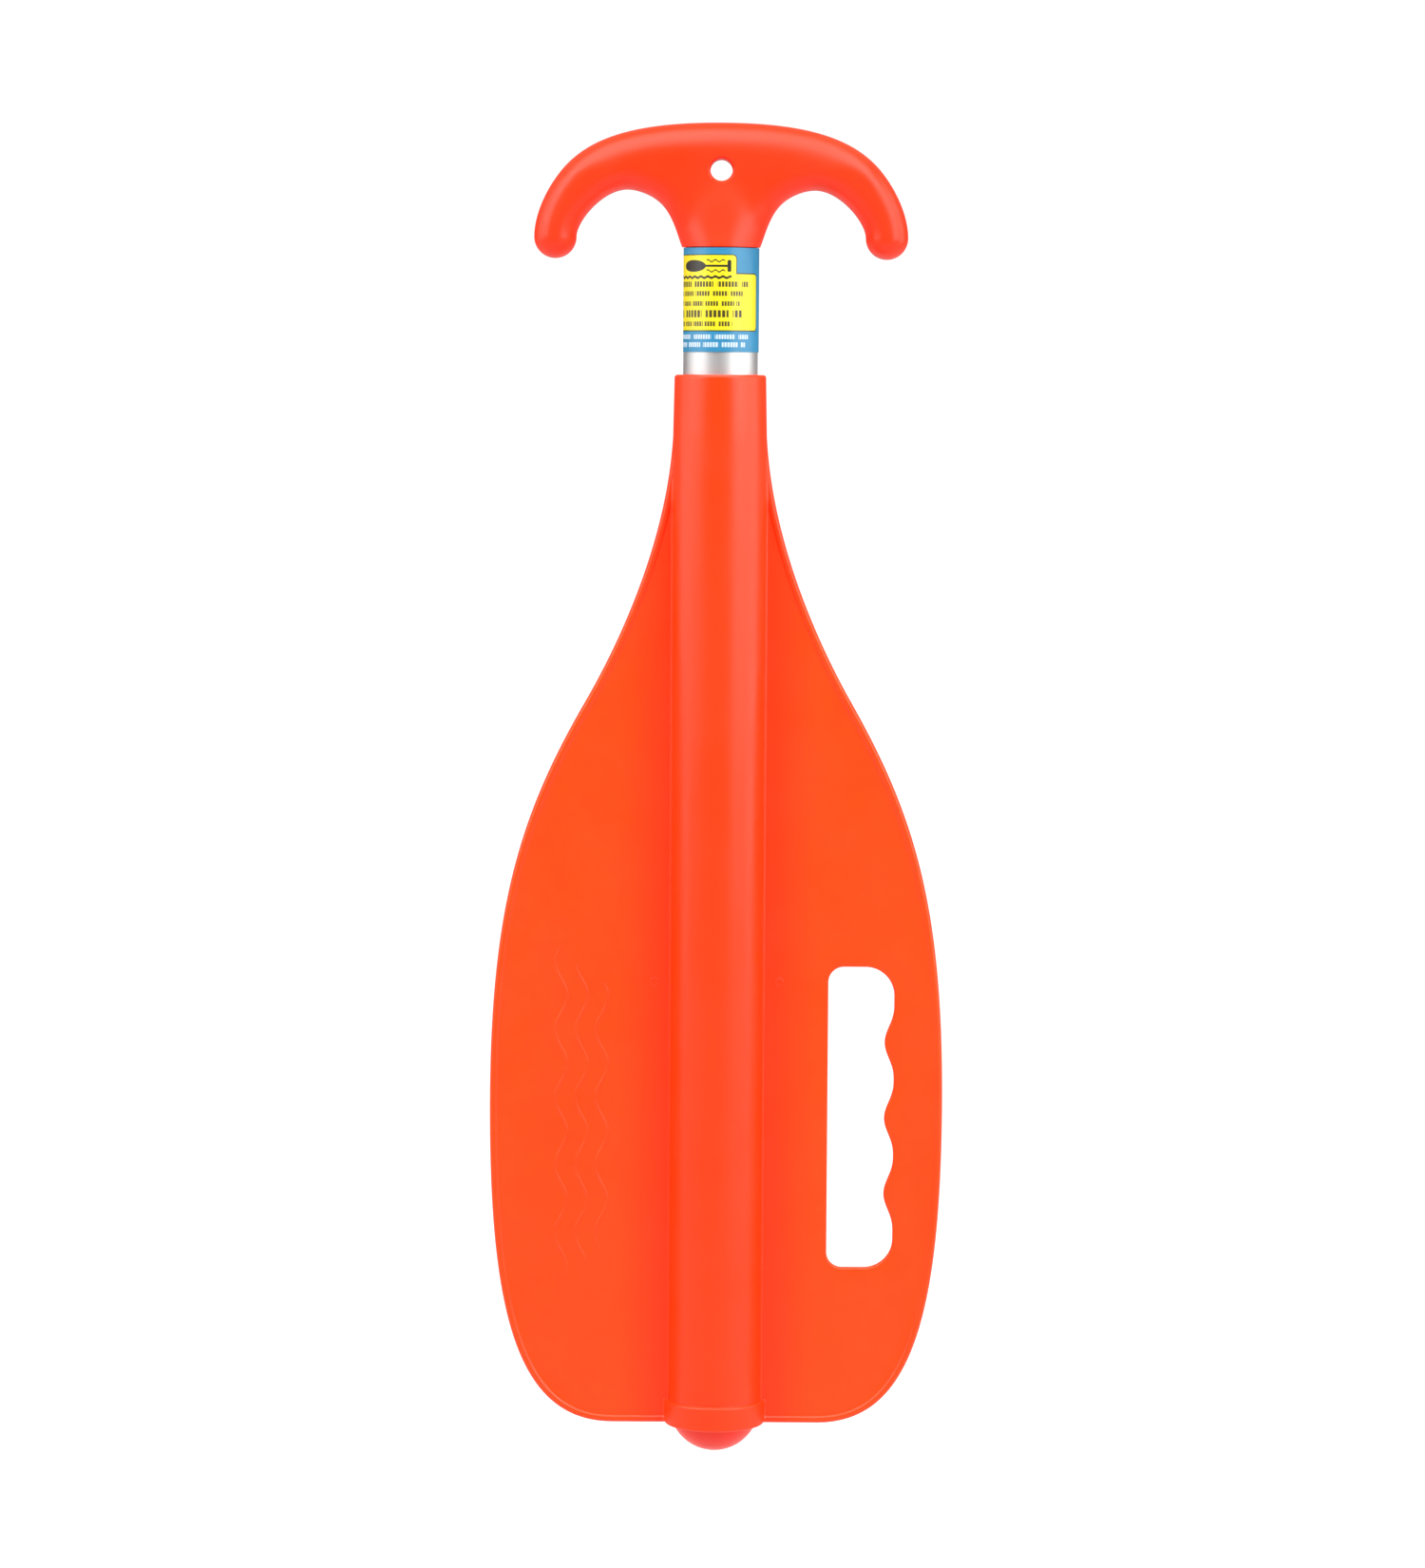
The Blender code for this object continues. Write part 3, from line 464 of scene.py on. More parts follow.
def blade_skin():
    """Blade with its socket, bore, collar, rim bead and hand slot, as one closed skin."""
    heights = blade_heights()
    rows = [blade_row(height) for height in heights]
    bore = [(socket_radius(MOUTH_HEIGHT), MOUTH_HEIGHT), (LIP_BORE_RADIUS + 0.5, MOUTH_HEIGHT),
            (LIP_BORE_RADIUS + 0.15, MOUTH_HEIGHT - 0.15), (LIP_BORE_RADIUS, MOUTH_HEIGHT - 0.5),
            (LIP_BORE_RADIUS, LIP_BOTTOM), (BORE_RADIUS, LIP_BOTTOM), (BORE_RADIUS, BLADE_BOTTOM + 0.4),
            (BORE_RADIUS + 0.4, BLADE_BOTTOM), (socket_radius(BLADE_BOTTOM), BLADE_BOTTOM)]
    sides = [blade_side(heights, rows, side) for side in (-1, 1)]
    points, faces = joined(*sides, turned(bore, 4 * (TUBE_COLUMNS - 1)))
    mesh = bpy.data.meshes.new("blade_skin")
    mesh.from_pydata([tuple(p) for p in np.array(points) * MM], [], faces)
    bm = bmesh.new()
    bm.from_mesh(mesh)
    bmesh.ops.remove_doubles(bm, verts=bm.verts, dist=MERGE_DISTANCE)
    windows = [open_window(bm, side) for side in (-1, 1)]
    for loose, ring in zip(windows, slot_wall(bm)):
        ring_edges = [bm.edges.get((a, b)) for a, b in zip(ring, ring[1:] + ring[:1])]
        bmesh.ops.triangle_fill(bm, edges=loose + ring_edges, use_beauty=True, use_dissolve=False)
    bm.to_mesh(mesh)
    bm.free()
    return finish_mesh("blade_skin", mesh, 35.0)


def wave_rib(index, centre):
    """Low rounded rib with tapered ends that winds up the front of the web.

    Each next rib is shorter. The section gives shares of the rib's half width and of its rise.
    """
    steps, end_steps, blunt = 150, 6, 0.02
    shorter = WAVE_SHORTER * index
    heights = np.linspace(WAVE_LOW + shorter, WAVE_HIGH - shorter, steps)
    swing = WAVE_SWING * np.sin(2 * math.pi * (heights - WAVE_LOW) / WAVE_LENGTH)
    line = np.column_stack((centre + swing, heights))
    half_section = [(-1.0, -0.1), (-0.8, 0.55), (-0.45, 0.9)]
    section = half_section + [(0.0, 1.0)] + [(-share, lift) for share, lift in reversed(half_section)]
    rings = []
    for k, (point, side) in enumerate(zip(line, -right_of(np.gradient(line, axis=0)))):
        taper = min(1.0, math.sqrt(min(k, steps - 1 - k) / end_steps) + blunt)
        ring = []
        for share, lift in section:
            x, height = point + side * share * WAVE_HALF_WIDTH * taper
            ring.append((x, -(WEB_HALF + lift * WAVE_RISE * (taper if lift > 0 else 1.0)), up(height)))
        rings.append(ring)
    return skinned(rings)


def witness_ring(centre):
    """Low ring that an ejector pin leaves on the front of the web, beside the socket."""
    section = [(-0.3, -0.1), (-0.15, 0.05), (0.0, 0.07), (0.15, 0.05), (0.3, -0.1)]
    points = []
    angles = np.radians(np.linspace(0, 360, 49))
    for angle in angles:
        for offset, lift in section:
            radius = WITNESS_RADIUS + offset
            x, height = centre + radius * math.cos(angle), WITNESS_HEIGHT + radius * math.sin(angle)
            points.append((x, -(WEB_HALF + lift), up(height)))
    return points, grid_faces(len(angles), len(section), wrap=True)


def front_relief():
    """Three wave lines moulded on the plain side of the web, and the ejector pins' marks."""
    shapes = [wave_rib(index, centre) for index, centre in enumerate(WAVE_CENTRES)]
    shapes += [witness_ring(centre) for centre in (-WITNESS_X, WITNESS_X)]
    return make_object("blade_relief", *joined(*shapes), 60.0)


# Handle -----------------------------------------------------------------------------------------

def handle_outline():
    """Right half of the handle's outline from the top centre to the neck, then its mirror image."""
    crest = (52.5, 443.0)
    tip_centre = (56.4, 418.4)
    tip_radius = 7.2
    arch_height = 434.45
    arch_top = (31.9, arch_height)
    neck = (17.3, 425.0)
    right = bezier((0.0, HANDLE_TOP), (26.6, HANDLE_TOP), (42.8, 453.0), crest, 60)
    right += bezier(crest, (58.1, 437.2), (63.6, 427.1), (63.6, 418.4), 40)
    right += arc(tip_centre, tip_radius, 0, -180, 40)[:-1]
    right += bezier((49.2, 418.4), (49.2, 423.8), (40.1, arch_height), arch_top, 50)
    right += bezier(arch_top, (28.0, arch_height), (20.3, 432.1), neck, 30)
    right += [neck, (15.0, 421.0)]
    left = [(-x, height) for x, height in right[:0:-1]]
    return right + left


def handle_round(outline):
    """How far the edge's rounding reaches into the plate: further along the top than round the hooks."""
    top_end, fade, underside = 54.0, 16.0, 440.0
    x, height = np.abs(outline[:, 0]), outline[:, 1]
    top = smooth_step((top_end - x) / fade) * (height > underside)
    return HANDLE_ROUND_IN + (HANDLE_TOP_ROUND_IN - HANDLE_ROUND_IN) * top[:, None]


def handle_plate():
    """The T plate with fully rounded edges."""
    outline = np.array(handle_outline())
    inwards = right_of(round_trip(outline))
    core = HANDLE_HALF_DEPTH - HANDLE_ROUND_DEPTH
    angles = np.radians(np.linspace(0, 90, 13))
    rings = []
    for side, angle in [(-1, a) for a in reversed(angles)] + [(1, a) for a in angles]:
        moved = outline + inwards * handle_round(outline) * (1 - math.cos(angle))
        depth = side * (core + HANDLE_ROUND_DEPTH * math.sin(angle))
        rings.append([(x, depth, up(height)) for x, height in moved])
    return skinned(rings)


def handle_neck():
    """Round shoulder that flattens into the plate. It starts low, and the sole is cut afterwards."""
    circle = arc((0, 0), 1.0, 0, 360, 144)[:-1]
    inner_depth = HANDLE_HALF_DEPTH - NECK_SUNK
    rings = []
    for height in np.linspace(SHOULDER_HEIGHT - SOLE_SPARE, NECK_TOP, 60):
        above = max(height - SHOULDER_HEIGHT, 0.0)
        share = above / (NECK_TOP - SHOULDER_HEIGHT)
        half_depth = SHOULDER_RADIUS + (inner_depth - SHOULDER_RADIUS) * share
        half_width = min(SHOULDER_RADIUS + NECK_SPREAD * above, NECK_HALF_WIDTH)
        rings.append([(x * half_width, y * half_depth, up(height)) for x, y in circle])
    return skinned(rings)


def relax(mesh, rounds, weight=None, keep_volume=True):
    """Smooth a mesh by moving its points towards their neighbours' mean, by a weight if one is given."""
    count = len(mesh.vertices)
    points = np.empty(count * 3)
    mesh.vertices.foreach_get("co", points)
    points = points.reshape(-1, 3)
    ends = np.empty(len(mesh.edges) * 2, int)
    mesh.edges.foreach_get("vertices", ends)
    ends = ends.reshape(-1, 2)
    valence = np.bincount(ends.ravel(), minlength=count)[:, None]
    weights = np.ones(count) if weight is None else weight(points)
    steps = (0.5, -0.52) if keep_volume else (0.5,)
    for _ in range(rounds):
        for step in steps:
            total = np.zeros_like(points)
            for axis in range(3):
                total[:, axis] = np.bincount(ends[:, 0], points[ends[:, 1], axis], count)
                total[:, axis] += np.bincount(ends[:, 1], points[ends[:, 0], axis], count)
            points = points + step * weights[:, None] * (total / valence - points)
    mesh.vertices.foreach_set("co", points.ravel())
    mesh.update()


def apply_modifiers(thing):
    """Replace an object's mesh with the one its modifiers give."""
    graph = bpy.context.evaluated_depsgraph_get()
    graph.update()
    made = bpy.data.meshes.new_from_object(thing.evaluated_get(graph), depsgraph=graph)
    thing.modifiers.clear()
    thing.data = made
    return thing


def cut(thing, cutter):
    """Take a cutter's shape out of an object and delete the cutter."""
    modifier = thing.modifiers.new("cut", "BOOLEAN")
    modifier.object = cutter
    modifier.operation = "DIFFERENCE"
    modifier.solver = "EXACT"
    apply_modifiers(thing)
    bpy.data.objects.remove(cutter, do_unlink=True)


def neck_weight(points):
    """Smoothing weight round the junctions of the neck and the plate, which fades at its limits."""
    low, high, side = SHOULDER_HEIGHT + 1.5, 441.0, 26.0
    x, height = np.abs(points[:, 0]) / MM, height_of(points[:, 2] / MM)
    weight = np.clip((height - low) / 6.0, 0, 1) * np.clip((high - height) / 8.0, 0, 1)
    return weight * np.clip((side - x) / 6.0, 0, 1)


def sole_cutter():
    """Everything below the shoulder, which leaves the neck a flat sole."""
    reach, low = 40.0, 380.0
    profile = [(0.0, SHOULDER_HEIGHT), (reach, SHOULDER_HEIGHT), (reach, low), (0.0, low)]
    return make_object("sole_cutter", *turned(profile, 64))


def hole_cutter():
    """Hang hole with flared ends, through the frame's origin from front to back."""
    reach = HANDLE_HALF_DEPTH + 2.0
    flare_start = HANDLE_HALF_DEPTH - HANG_HOLE_FLARE
    half = [(HANG_HOLE_RADIUS + 1.9, reach), (HANG_HOLE_RADIUS + 0.9, HANDLE_HALF_DEPTH + 0.05),
            (HANG_HOLE_RADIUS + 0.35, HANDLE_HALF_DEPTH - 0.25), (HANG_HOLE_RADIUS + 0.08, flare_start),
            (HANG_HOLE_RADIUS, flare_start - 0.5)]
    mirrored = [(radius, -depth) for radius, depth in reversed(half)]
    points, faces = turned([(0.0, reach)] + half + mirrored + [(0.0, -reach)], 72)
    points = [(x, z - up(0.0), y) for x, y, z in points]
    return make_object("hole_cutter", points, faces)


def make_handle():
    """T plate and neck as one moulding, with smoothed junctions, a flat sole and the hang hole."""
    handle = make_object("handle_body", *joined(handle_plate(), handle_neck()))
    remesh = handle.modifiers.new("remesh", "REMESH")
    remesh.mode = "VOXEL"
    remesh.voxel_size = HANDLE_VOXEL * MM
    apply_modifiers(handle)
    relax(handle.data, 12)
    relax(handle.data, 120, neck_weight, keep_volume=False)
    relax(handle.data, 6)
    cut(handle, sole_cutter())
    cut(handle, hole_cutter())
    handle.data.shade_smooth()
    handle.data.set_sharp_from_angle(angle=math.radians(38))
    return handle


def make_spigot():
    """The handle's stem inside the shaft, with a chamfered end."""
    radius = TUBE_RADIUS - TUBE_WALL - SPIGOT_GAP
    top, end, chamfer = SHOULDER_HEIGHT + 3.0, SHOULDER_HEIGHT - SPIGOT_LENGTH, 1.0
    profile = [(0.0, top), (radius, top), (radius, end + chamfer), (radius - chamfer, end), (0.0, end)]
    return make_object("handle_spigot", *turned(profile, 96))


# Shaft, label and end plug ----------------------------------------------------------------------

def make_shaft():
    """Drawn tube with broken edges at its ends."""
    inner = TUBE_RADIUS - TUBE_WALL
    edge = 0.25
    outer = TUBE_RADIUS - edge
    wall = [(outer, TUBE_TOP), (TUBE_RADIUS, TUBE_TOP - edge), (TUBE_RADIUS, TUBE_BOTTOM + edge),
            (outer, TUBE_BOTTOM), (inner, TUBE_BOTTOM), (inner, TUBE_TOP)]
    return make_object("shaft_skin", *turned(wall, 160, closed=True))


def make_label():
    """Wrap label with soft edges, over the same stretch of the shaft as its CAD node."""
    corners = frame["nodes"]["shaft_label"].data.vertices
    angles = sorted(math.degrees(math.atan2(v.co.x, -v.co.y)) % 360 for v in corners)
    gaps = [(b - a, a, b) for a, b in zip(angles, angles[1:] + [angles[0] + 360])]
    _, end, start = max(gaps)
    inner, edge = TUBE_RADIUS + 0.02, 0.08
    outer = LABEL_RADIUS - edge
    section = [(inner, LABEL_BOTTOM), (outer, LABEL_BOTTOM), (LABEL_RADIUS, LABEL_BOTTOM + edge),
               (LABEL_RADIUS, TUBE_TOP - edge), (outer, TUBE_TOP), (inner, TUBE_TOP)]
    rings = []
    for angle in np.radians(np.linspace(start, end + 360 if end < start else end, 181)):
        rings.append([(r * math.sin(angle), -r * math.cos(angle), up(h)) for r, h in section])
    return make_object("label_skin", *skinned(rings))


def make_end_plug():
    """Hollow plug with a domed end below the collar and a skirt inside the bore."""
    seat = BLADE_BOTTOM - PLUG_GAP
    skirt = BORE_RADIUS - PLUG_GAP
    hollow = skirt - PLUG_WALL
    inner_dome = DOME_RADIUS - PLUG_WALL
    outer_end = math.degrees(math.asin((DOME_RADIUS - seat) / DOME_RADIUS))
    inner_end = math.degrees(math.acos(hollow / inner_dome))
    outer = arc((0.0, DOME_RADIUS), DOME_RADIUS, -90, -outer_end, 28)
    inner = arc((0.0, DOME_RADIUS), inner_dome, -inner_end, -90, 16)
    profile = outer + [(skirt, seat), (skirt, PLUG_TOP), (hollow, PLUG_TOP)] + inner
    profile[0] = (0.0, 0.0)
    profile[-1] = (0.0, PLUG_WALL)
    return make_object("plug_skin", *turned(profile, 144))


# Finishes ---------------------------------------------------------------------------------------

class Finish:
    """A Principled material and the node arithmetic that feeds it."""

    def __init__(self, name):
        self.material = bpy.data.materials.new(name)
        self.material.use_nodes = True
        self.tree = self.material.node_tree
        self.shader = self.tree.nodes["Principled BSDF"]
        self.place = self.node("ShaderNodeTexCoord").outputs["Object"]

    def node(self, kind, **settings):
        """Add a node with its settings."""
        made = self.tree.nodes.new(kind)
        for key, value in settings.items():
            setattr(made, key, value)
        return made

    def feed(self, socket, value):
        """Link a socket, or set its value."""
        if isinstance(value, bpy.types.NodeSocket):
            self.tree.links.new(value, socket)
        else:
            socket.default_value = value

    def math(self, operation, *values, clamp=False):
        """Result of one arithmetic node."""
        made = self.node("ShaderNodeMath", operation=operation, use_clamp=clamp)
        for socket, value in zip(made.inputs, values):
            self.feed(socket, value)
        return made.outputs[0]

    def noise(self, scale, detail=2.0, stretch=(1.0, 1.0, 1.0), place=None):
        """Noise from 0 to 1 over the object or another place; scale counts features per metre."""
        mapping = self.node("ShaderNodeMapping")
        self.feed(mapping.inputs["Vector"], place or self.place)
        mapping.inputs["Scale"].default_value = stretch
        made = self.node("ShaderNodeTexNoise")
        self.feed(made.inputs["Vector"], mapping.outputs[0])
        made.inputs["Scale"].default_value = scale
        made.inputs["Detail"].default_value = detail
        return made.outputs["Fac"]

    def blend(self, share, first, second):
        """Colour from the first to the second as the share goes from 0 to 1."""
        made = self.node("ShaderNodeMix", data_type="RGBA")
        self.feed(made.inputs["Factor"], share)
        for socket, value in ((made.inputs["A"], first), (made.inputs["B"], second)):
            self.feed(socket, value if isinstance(value, bpy.types.NodeSocket) else (*value, 1.0))
        return made.outputs["Result"]

    def span(self, value, low, high, to_low=0.0, to_high=1.0, smooth=True):
        """Value from low to high, carried over to the span from to_low to to_high."""
        made = self.node("ShaderNodeMapRange", interpolation_type="SMOOTHSTEP" if smooth else "LINEAR")
        for key, number in (("Value", value), ("From Min", low), ("From Max", high),
                            ("To Min", to_low), ("To Max", to_high)):
            self.feed(made.inputs[key], number)
        return made.outputs["Result"]

    def vary(self, noise, low=0.0, high=1.0):
        """The busy middle of a noise, spread from low to high."""
        return self.span(noise, 0.3, 0.7, low, high)

    def axes(self):
        """X, Y and Z coordinates in metres."""
        made = self.node("ShaderNodeSeparateXYZ")
        self.feed(made.inputs[0], self.place)
        return made.outputs["X"], made.outputs["Y"], made.outputs["Z"]

    def wrapped(self):
        """Angle round the vertical axis in radians, 0 at the front, and the Z coordinate."""
        x, y, z = self.axes()
        return self.math("ARCTAN2", x, self.math("MULTIPLY", y, -1.0)), z

    def bump(self, height, depth, under=None):
        """Surface relief of a depth in millimetres, from a height that runs from 0 to 1."""
        made = self.node("ShaderNodeBump")
        made.inputs["Strength"].default_value = 1.0
        made.inputs["Distance"].default_value = depth * MM
        self.feed(made.inputs["Height"], height)
        if under:
            self.feed(made.inputs["Normal"], under)
        return made.outputs["Normal"]

    def set(self, **values):
        """Feed the shader's inputs by name."""
        for key, value in values.items():
            self.feed(self.shader.inputs[key.replace("_", " ")], value)


def moulded_plastic(name, colour, deep, rough, grain, gloss, parting=True, painted_middle_shade=None):
    """Moulded hi-vis plastic: faint flow marks, uneven gloss, fine mould grain and a parting line.

    The last argument paints shade, a darker and redder colour towards the middle along X, beside the
    socket tube and round the neck: the distances from the middle at which it is full and gone, and its
    colour.
    """
    parting_half_width, parting_rise = 0.22, 0.08
    finish = Finish(name)
    x, y, _ = finish.axes()
    flow = finish.vary(finish.noise(14.0, 3.0, (1.0, 1.0, 0.35)), 0.0, 0.6)
    mottle = finish.span(finish.noise(160.0), 0.35, 0.65, 0.0, 0.4)
    tint = finish.blend(finish.math("ADD", flow, mottle), colour, deep)
    # Painted shade: the colour darkens and reddens towards the middle, beside the socket tube and round
    # the neck
    if painted_middle_shade:
        full, gone, painted_shade_colour = painted_middle_shade
        away = finish.math("ABSOLUTE", x)
        tint = finish.blend(finish.span(away, gone * MM, full * MM), tint, painted_shade_colour)
    finish.set(Base_Color=tint)
    patches = finish.vary(finish.noise(45.0, 3.0), -0.04, 0.04)
    fine = finish.vary(finish.noise(900.0), -0.02, 0.02)
    uneven = finish.math("ADD", patches, fine)
    finish.set(Roughness=finish.math("ADD", uneven, rough), Specular_IOR_Level=gloss)
    relief = finish.bump(finish.noise(grain, 1.0), 0.009)
    relief = finish.bump(finish.noise(55.0), 0.06, relief)
    if parting:
        line = finish.span(finish.math("ABSOLUTE", y), 0.0, parting_half_width * MM, 1.0, 0.0)
        relief = finish.bump(line, parting_rise, relief)
    finish.set(Normal=relief)
    return finish


def drawn_aluminium(name, rough):
    """Clear anodised drawn tube: fine lines along the shaft and slightly uneven sheen.

    The lines are noise over the unrolled surface, squeezed along the shaft so that it draws out.
    """
    squeeze = 0.012
    finish = Finish(name)
    angle, z = finish.wrapped()
    unrolled = finish.node("ShaderNodeCombineXYZ")
    finish.feed(unrolled.inputs[0], finish.math("MULTIPLY", angle, TUBE_RADIUS * MM))
    finish.feed(unrolled.inputs[1], finish.math("MULTIPLY", z, squeeze))
    lines = finish.noise(5000.0, 3.0, place=unrolled.outputs[0])
    cloud = finish.noise(60.0, 3.0)
    tint = finish.blend(finish.vary(cloud), (0.62, 0.62, 0.615), (0.57, 0.57, 0.565))
    uneven = finish.math("ADD", finish.vary(lines, -0.05, 0.05), finish.vary(cloud, -0.03, 0.03))
    finish.set(Base_Color=tint, Roughness=finish.math("ADD", uneven, rough), Metallic=1.0)
    finish.set(Normal=finish.bump(lines, 0.003))
    return finish


def plain_metal(name, colour, dark, rough):
    """Machined or pressed metal with a cloudy tone and a fine surface."""
    finish = Finish(name)
    tint = finish.blend(finish.vary(finish.noise(400.0, 3.0)), colour, dark)
    uneven = finish.vary(finish.noise(1500.0), rough - 0.06, rough + 0.06)
    finish.set(Base_Color=tint, Roughness=uneven, Metallic=1.0)
    finish.set(Normal=finish.bump(finish.noise(2500.0), 0.006))
    return finish


# Label: its colours, the soft edge of its print, and where the print starts, out of sight on the left.
# A line of strokes is its right end, bottom and top, and the pitch and phase of the gaps in it.
YELLOW = (0.72, 0.60, 0.012)
INK = (0.016, 0.015, 0.010)
BLUE = (0.030, 0.225, 0.41)
DEEP_BLUE = tuple(0.9 * c for c in BLUE)
WHITE = (0.68, 0.76, 0.80)
PRINT_EDGE = 0.07
PRINT_LEFT = -23.9
WORD_GAP = 0.16
STROKE_GAP = 0.3
STROKE_PITCH = 0.62
# The panel and its tab: right edge, bottom, top and corner radius, in ink and then in yellow
PANEL_BORDERS = ((15.3, 386.6, 406.2, 1.6), (5.6, 400.0, 412.5, 1.6))
PANEL_FILLS = ((15.0, 386.95, 405.85, 1.3), (5.3, 400.0, 412.2, 1.3))
PANEL_LINES = ((10.5, 401.55, 403.35, 8.7, 0.30), (7.8, 398.5, 400.1, 6.3, 0.62),
               (6.6, 395.15, 396.7, 5.4, 0.15), (7.8, 391.3, 393.7, 9.4, 0.72),
               (4.2, 388.3, 389.9, 4.7, 0.35))
FOOT_LINES = ((10.4, 384.0, 385.5, 8.3, 0.4), (8.9, 381.3, 382.9, 6.6, 0.1))


class Label(Finish):
    """Printed vinyl. Printed shapes are masks over arc length and height, both in millimetres."""

    def __init__(self, name):
        super().__init__(name)
        angle, z = self.wrapped()
        self.across = self.math("MULTIPLY", angle, LABEL_RADIUS)
        self.high = self.math("ADD", self.math("MULTIPLY", z, 1 / MM), -TIP_Z)
        self.colour = self.blend(self.vary(self.noise(90.0)), BLUE, DEEP_BLUE)

    def above(self, value, limit, soft=PRINT_EDGE):
        """1 where value is above the limit, 0 below, with a soft edge."""
        return self.math("MULTIPLY_ADD", value, 1 / soft, 0.5 - limit / soft, clamp=True)

    def below(self, value, limit, soft=PRINT_EDGE):
        """1 where value is below the limit, 0 above, with a soft edge."""
        return self.math("MULTIPLY_ADD", value, -1 / soft, 0.5 + limit / soft, clamp=True)

    def both(self, *masks):
        """Where all masks are 1."""
        result = masks[0]
        for mask in masks[1:]:
            result = self.math("MULTIPLY", result, mask)
        return result

    def strip(self, value, low, high):
        """1 between two limits."""
        return self.both(self.above(value, low), self.below(value, high))

    def block(self, left, right, low, high):
        """Rectangle."""
        return self.both(self.strip(self.across, left, right), self.strip(self.high, low, high))

    def rounded(self, left, right, low, high, radius):
        """Block with round corners."""
        gaps = []
        for value, start, end in ((self.across, left, right), (self.high, low, high)):
            away = self.math("ABSOLUTE", self.math("ADD", value, -(start + end) / 2))
            past = self.math("ADD", away, radius - (end - start) / 2)
            gaps.append(self.math("MAXIMUM", past, 0.0))
        squares = [self.math("MULTIPLY", gap, gap) for gap in gaps]
        distance = self.math("SQRT", self.math("ADD", *squares))
        return self.below(distance, radius)

    def disc(self, x, y, radius_x, radius_y):
        """Ellipse."""
        a = self.math("MULTIPLY_ADD", self.across, 1 / radius_x, -x / radius_x)
        b = self.math("MULTIPLY_ADD", self.high, 1 / radius_y, -y / radius_y)
        size = self.math("ADD", self.math("MULTIPLY", a, a), self.math("MULTIPLY", b, b))
        return self.below(self.math("SQRT", size), 1.0, PRINT_EDGE / min(radius_x, radius_y))

    def waves(self, left, right, middle, rise, half):
        """Wave line."""
        length = 2.6
        swing = self.math("SINE", self.math("MULTIPLY", self.across, 2 * math.pi / length))
        swing = self.math("MULTIPLY", swing, rise)
        offset = self.math("SUBTRACT", self.math("ADD", self.high, -middle), swing)
        line = self.below(self.math("ABSOLUTE", offset), half)
        return self.both(line, self.strip(self.across, left, right))

    def words(self, left, right, low, high, pitch, phase):
        """A line of bars cut into short strokes, in the place of small print."""
        beat = self.math("FRACT", self.math("MULTIPLY_ADD", self.across, 1 / pitch, phase))
        stroke = self.math("FRACT", self.math("DIVIDE", self.across, STROKE_PITCH * (high - low)))
        return self.both(self.block(left, right, low, high), self.above(beat, WORD_GAP, 0.03),
                         self.above(stroke, STROKE_GAP, 0.1))

    def arrow(self, centre, tip, tail):
        """The shaft and the head of an upright arrow."""
        half_width, head_length, head_slope = 0.7, 4.0, 0.6
        low, high = min(tip, tail), max(tip, tail)
        shaft = self.block(centre - half_width, centre + half_width, low + 1.0, high - 1.0)
        away = self.math("ABSOLUTE", self.math("ADD", self.across, -centre))
        fall = self.math("ABSOLUTE", self.math("ADD", self.high, -tip))
        cone = self.below(self.math("SUBTRACT", away, self.math("MULTIPLY", fall, head_slope)), 0.0)
        start = tip - head_length if tip > tail else tip
        return shaft, self.both(cone, self.strip(self.high, start, start + head_length))

    def print(self, mask, colour, density=1.0):
        """Print a shape over the colour so far; a density below 1 lets that show through."""
        if density < 1.0:
            mask = self.math("MULTIPLY", mask, density)
        self.colour = self.blend(mask, self.colour, colour)


def printed_label(name):
    """Blue wrap with a yellow panel and tab, a paddle on water, arrows, and strokes in place of print."""
    label = Label(name)
    for shapes, colour in ((PANEL_BORDERS, INK), (PANEL_FILLS, YELLOW)):
        for shape in shapes:
            label.print(label.rounded(PRINT_LEFT, *shape), colour)
    # Paddle pictogram: shaft, blade and grip, with waves above and below
    label.print(label.block(-12.5, 2.5, 408.25, 408.95), INK)
    label.print(label.disc(-10.2, 408.6, 4.9, 2.0), INK)
    label.print(label.rounded(2.2, 3.5, 406.6, 410.6, 0.5), INK)
    for middle in (410.3, 406.9):
        label.print(label.waves(-5.0, 1.4, middle, 0.35, 0.22), INK)
    label.print(label.waves(PRINT_LEFT, 3.6, 404.8, 0.25, 0.4), INK)
    for lines, colour, density in ((PANEL_LINES, INK, 0.95), (FOOT_LINES, WHITE, 0.8)):
        for line in lines:
            label.print(label.words(PRINT_LEFT, *line), colour, density)
    # Arrows on the side, one up and one down
    for centre, tip, tail in ((26.0, 407.0, 390.0), (32.0, 388.0, 405.0)):
        for mask in label.arrow(centre, tip, tail):
            label.print(mask, WHITE)
    label.set(Base_Color=label.colour, Roughness=label.vary(label.noise(120.0), 0.30, 0.38))
    label.set(Normal=label.bump(label.noise(220.0), 0.03))
    return label


# Studio -----------------------------------------------------------------------------------------

FLOOR_RADIUS = 12.0
FLOOR_GAP = 30.0
LIT_POINT = Vector((0.0, 0.0, -0.1))

# Softboxes: name, azimuth, elevation, distance, size and power. Azimuth 0 is the front, 90 is +X.
SOFTBOXES = (
    ("left_box", -61, 23, 1.5, (1.0, 1.2), 13),
    ("right_box", 50, 16, 1.5, (1.0, 1.2), 13.5),
    ("left_side", -92, 12, 1.5, (1.0, 1.4), 6),
    ("right_side", 88, 12, 1.5, (1.0, 1.4), 9.5),
    ("top_box", 0, 62, 1.5, (2.6, 1.2), 41),
    ("back_box", 180, 30, 1.6, (1.6, 1.2), 18),
)


def direction(azimuth, elevation):
    """Unit vector from the object towards a place round it, from angles in degrees."""
    a, e = math.radians(azimuth), math.radians(elevation)
    return Vector((math.sin(a) * math.cos(e), -math.cos(a) * math.cos(e), math.sin(e)))


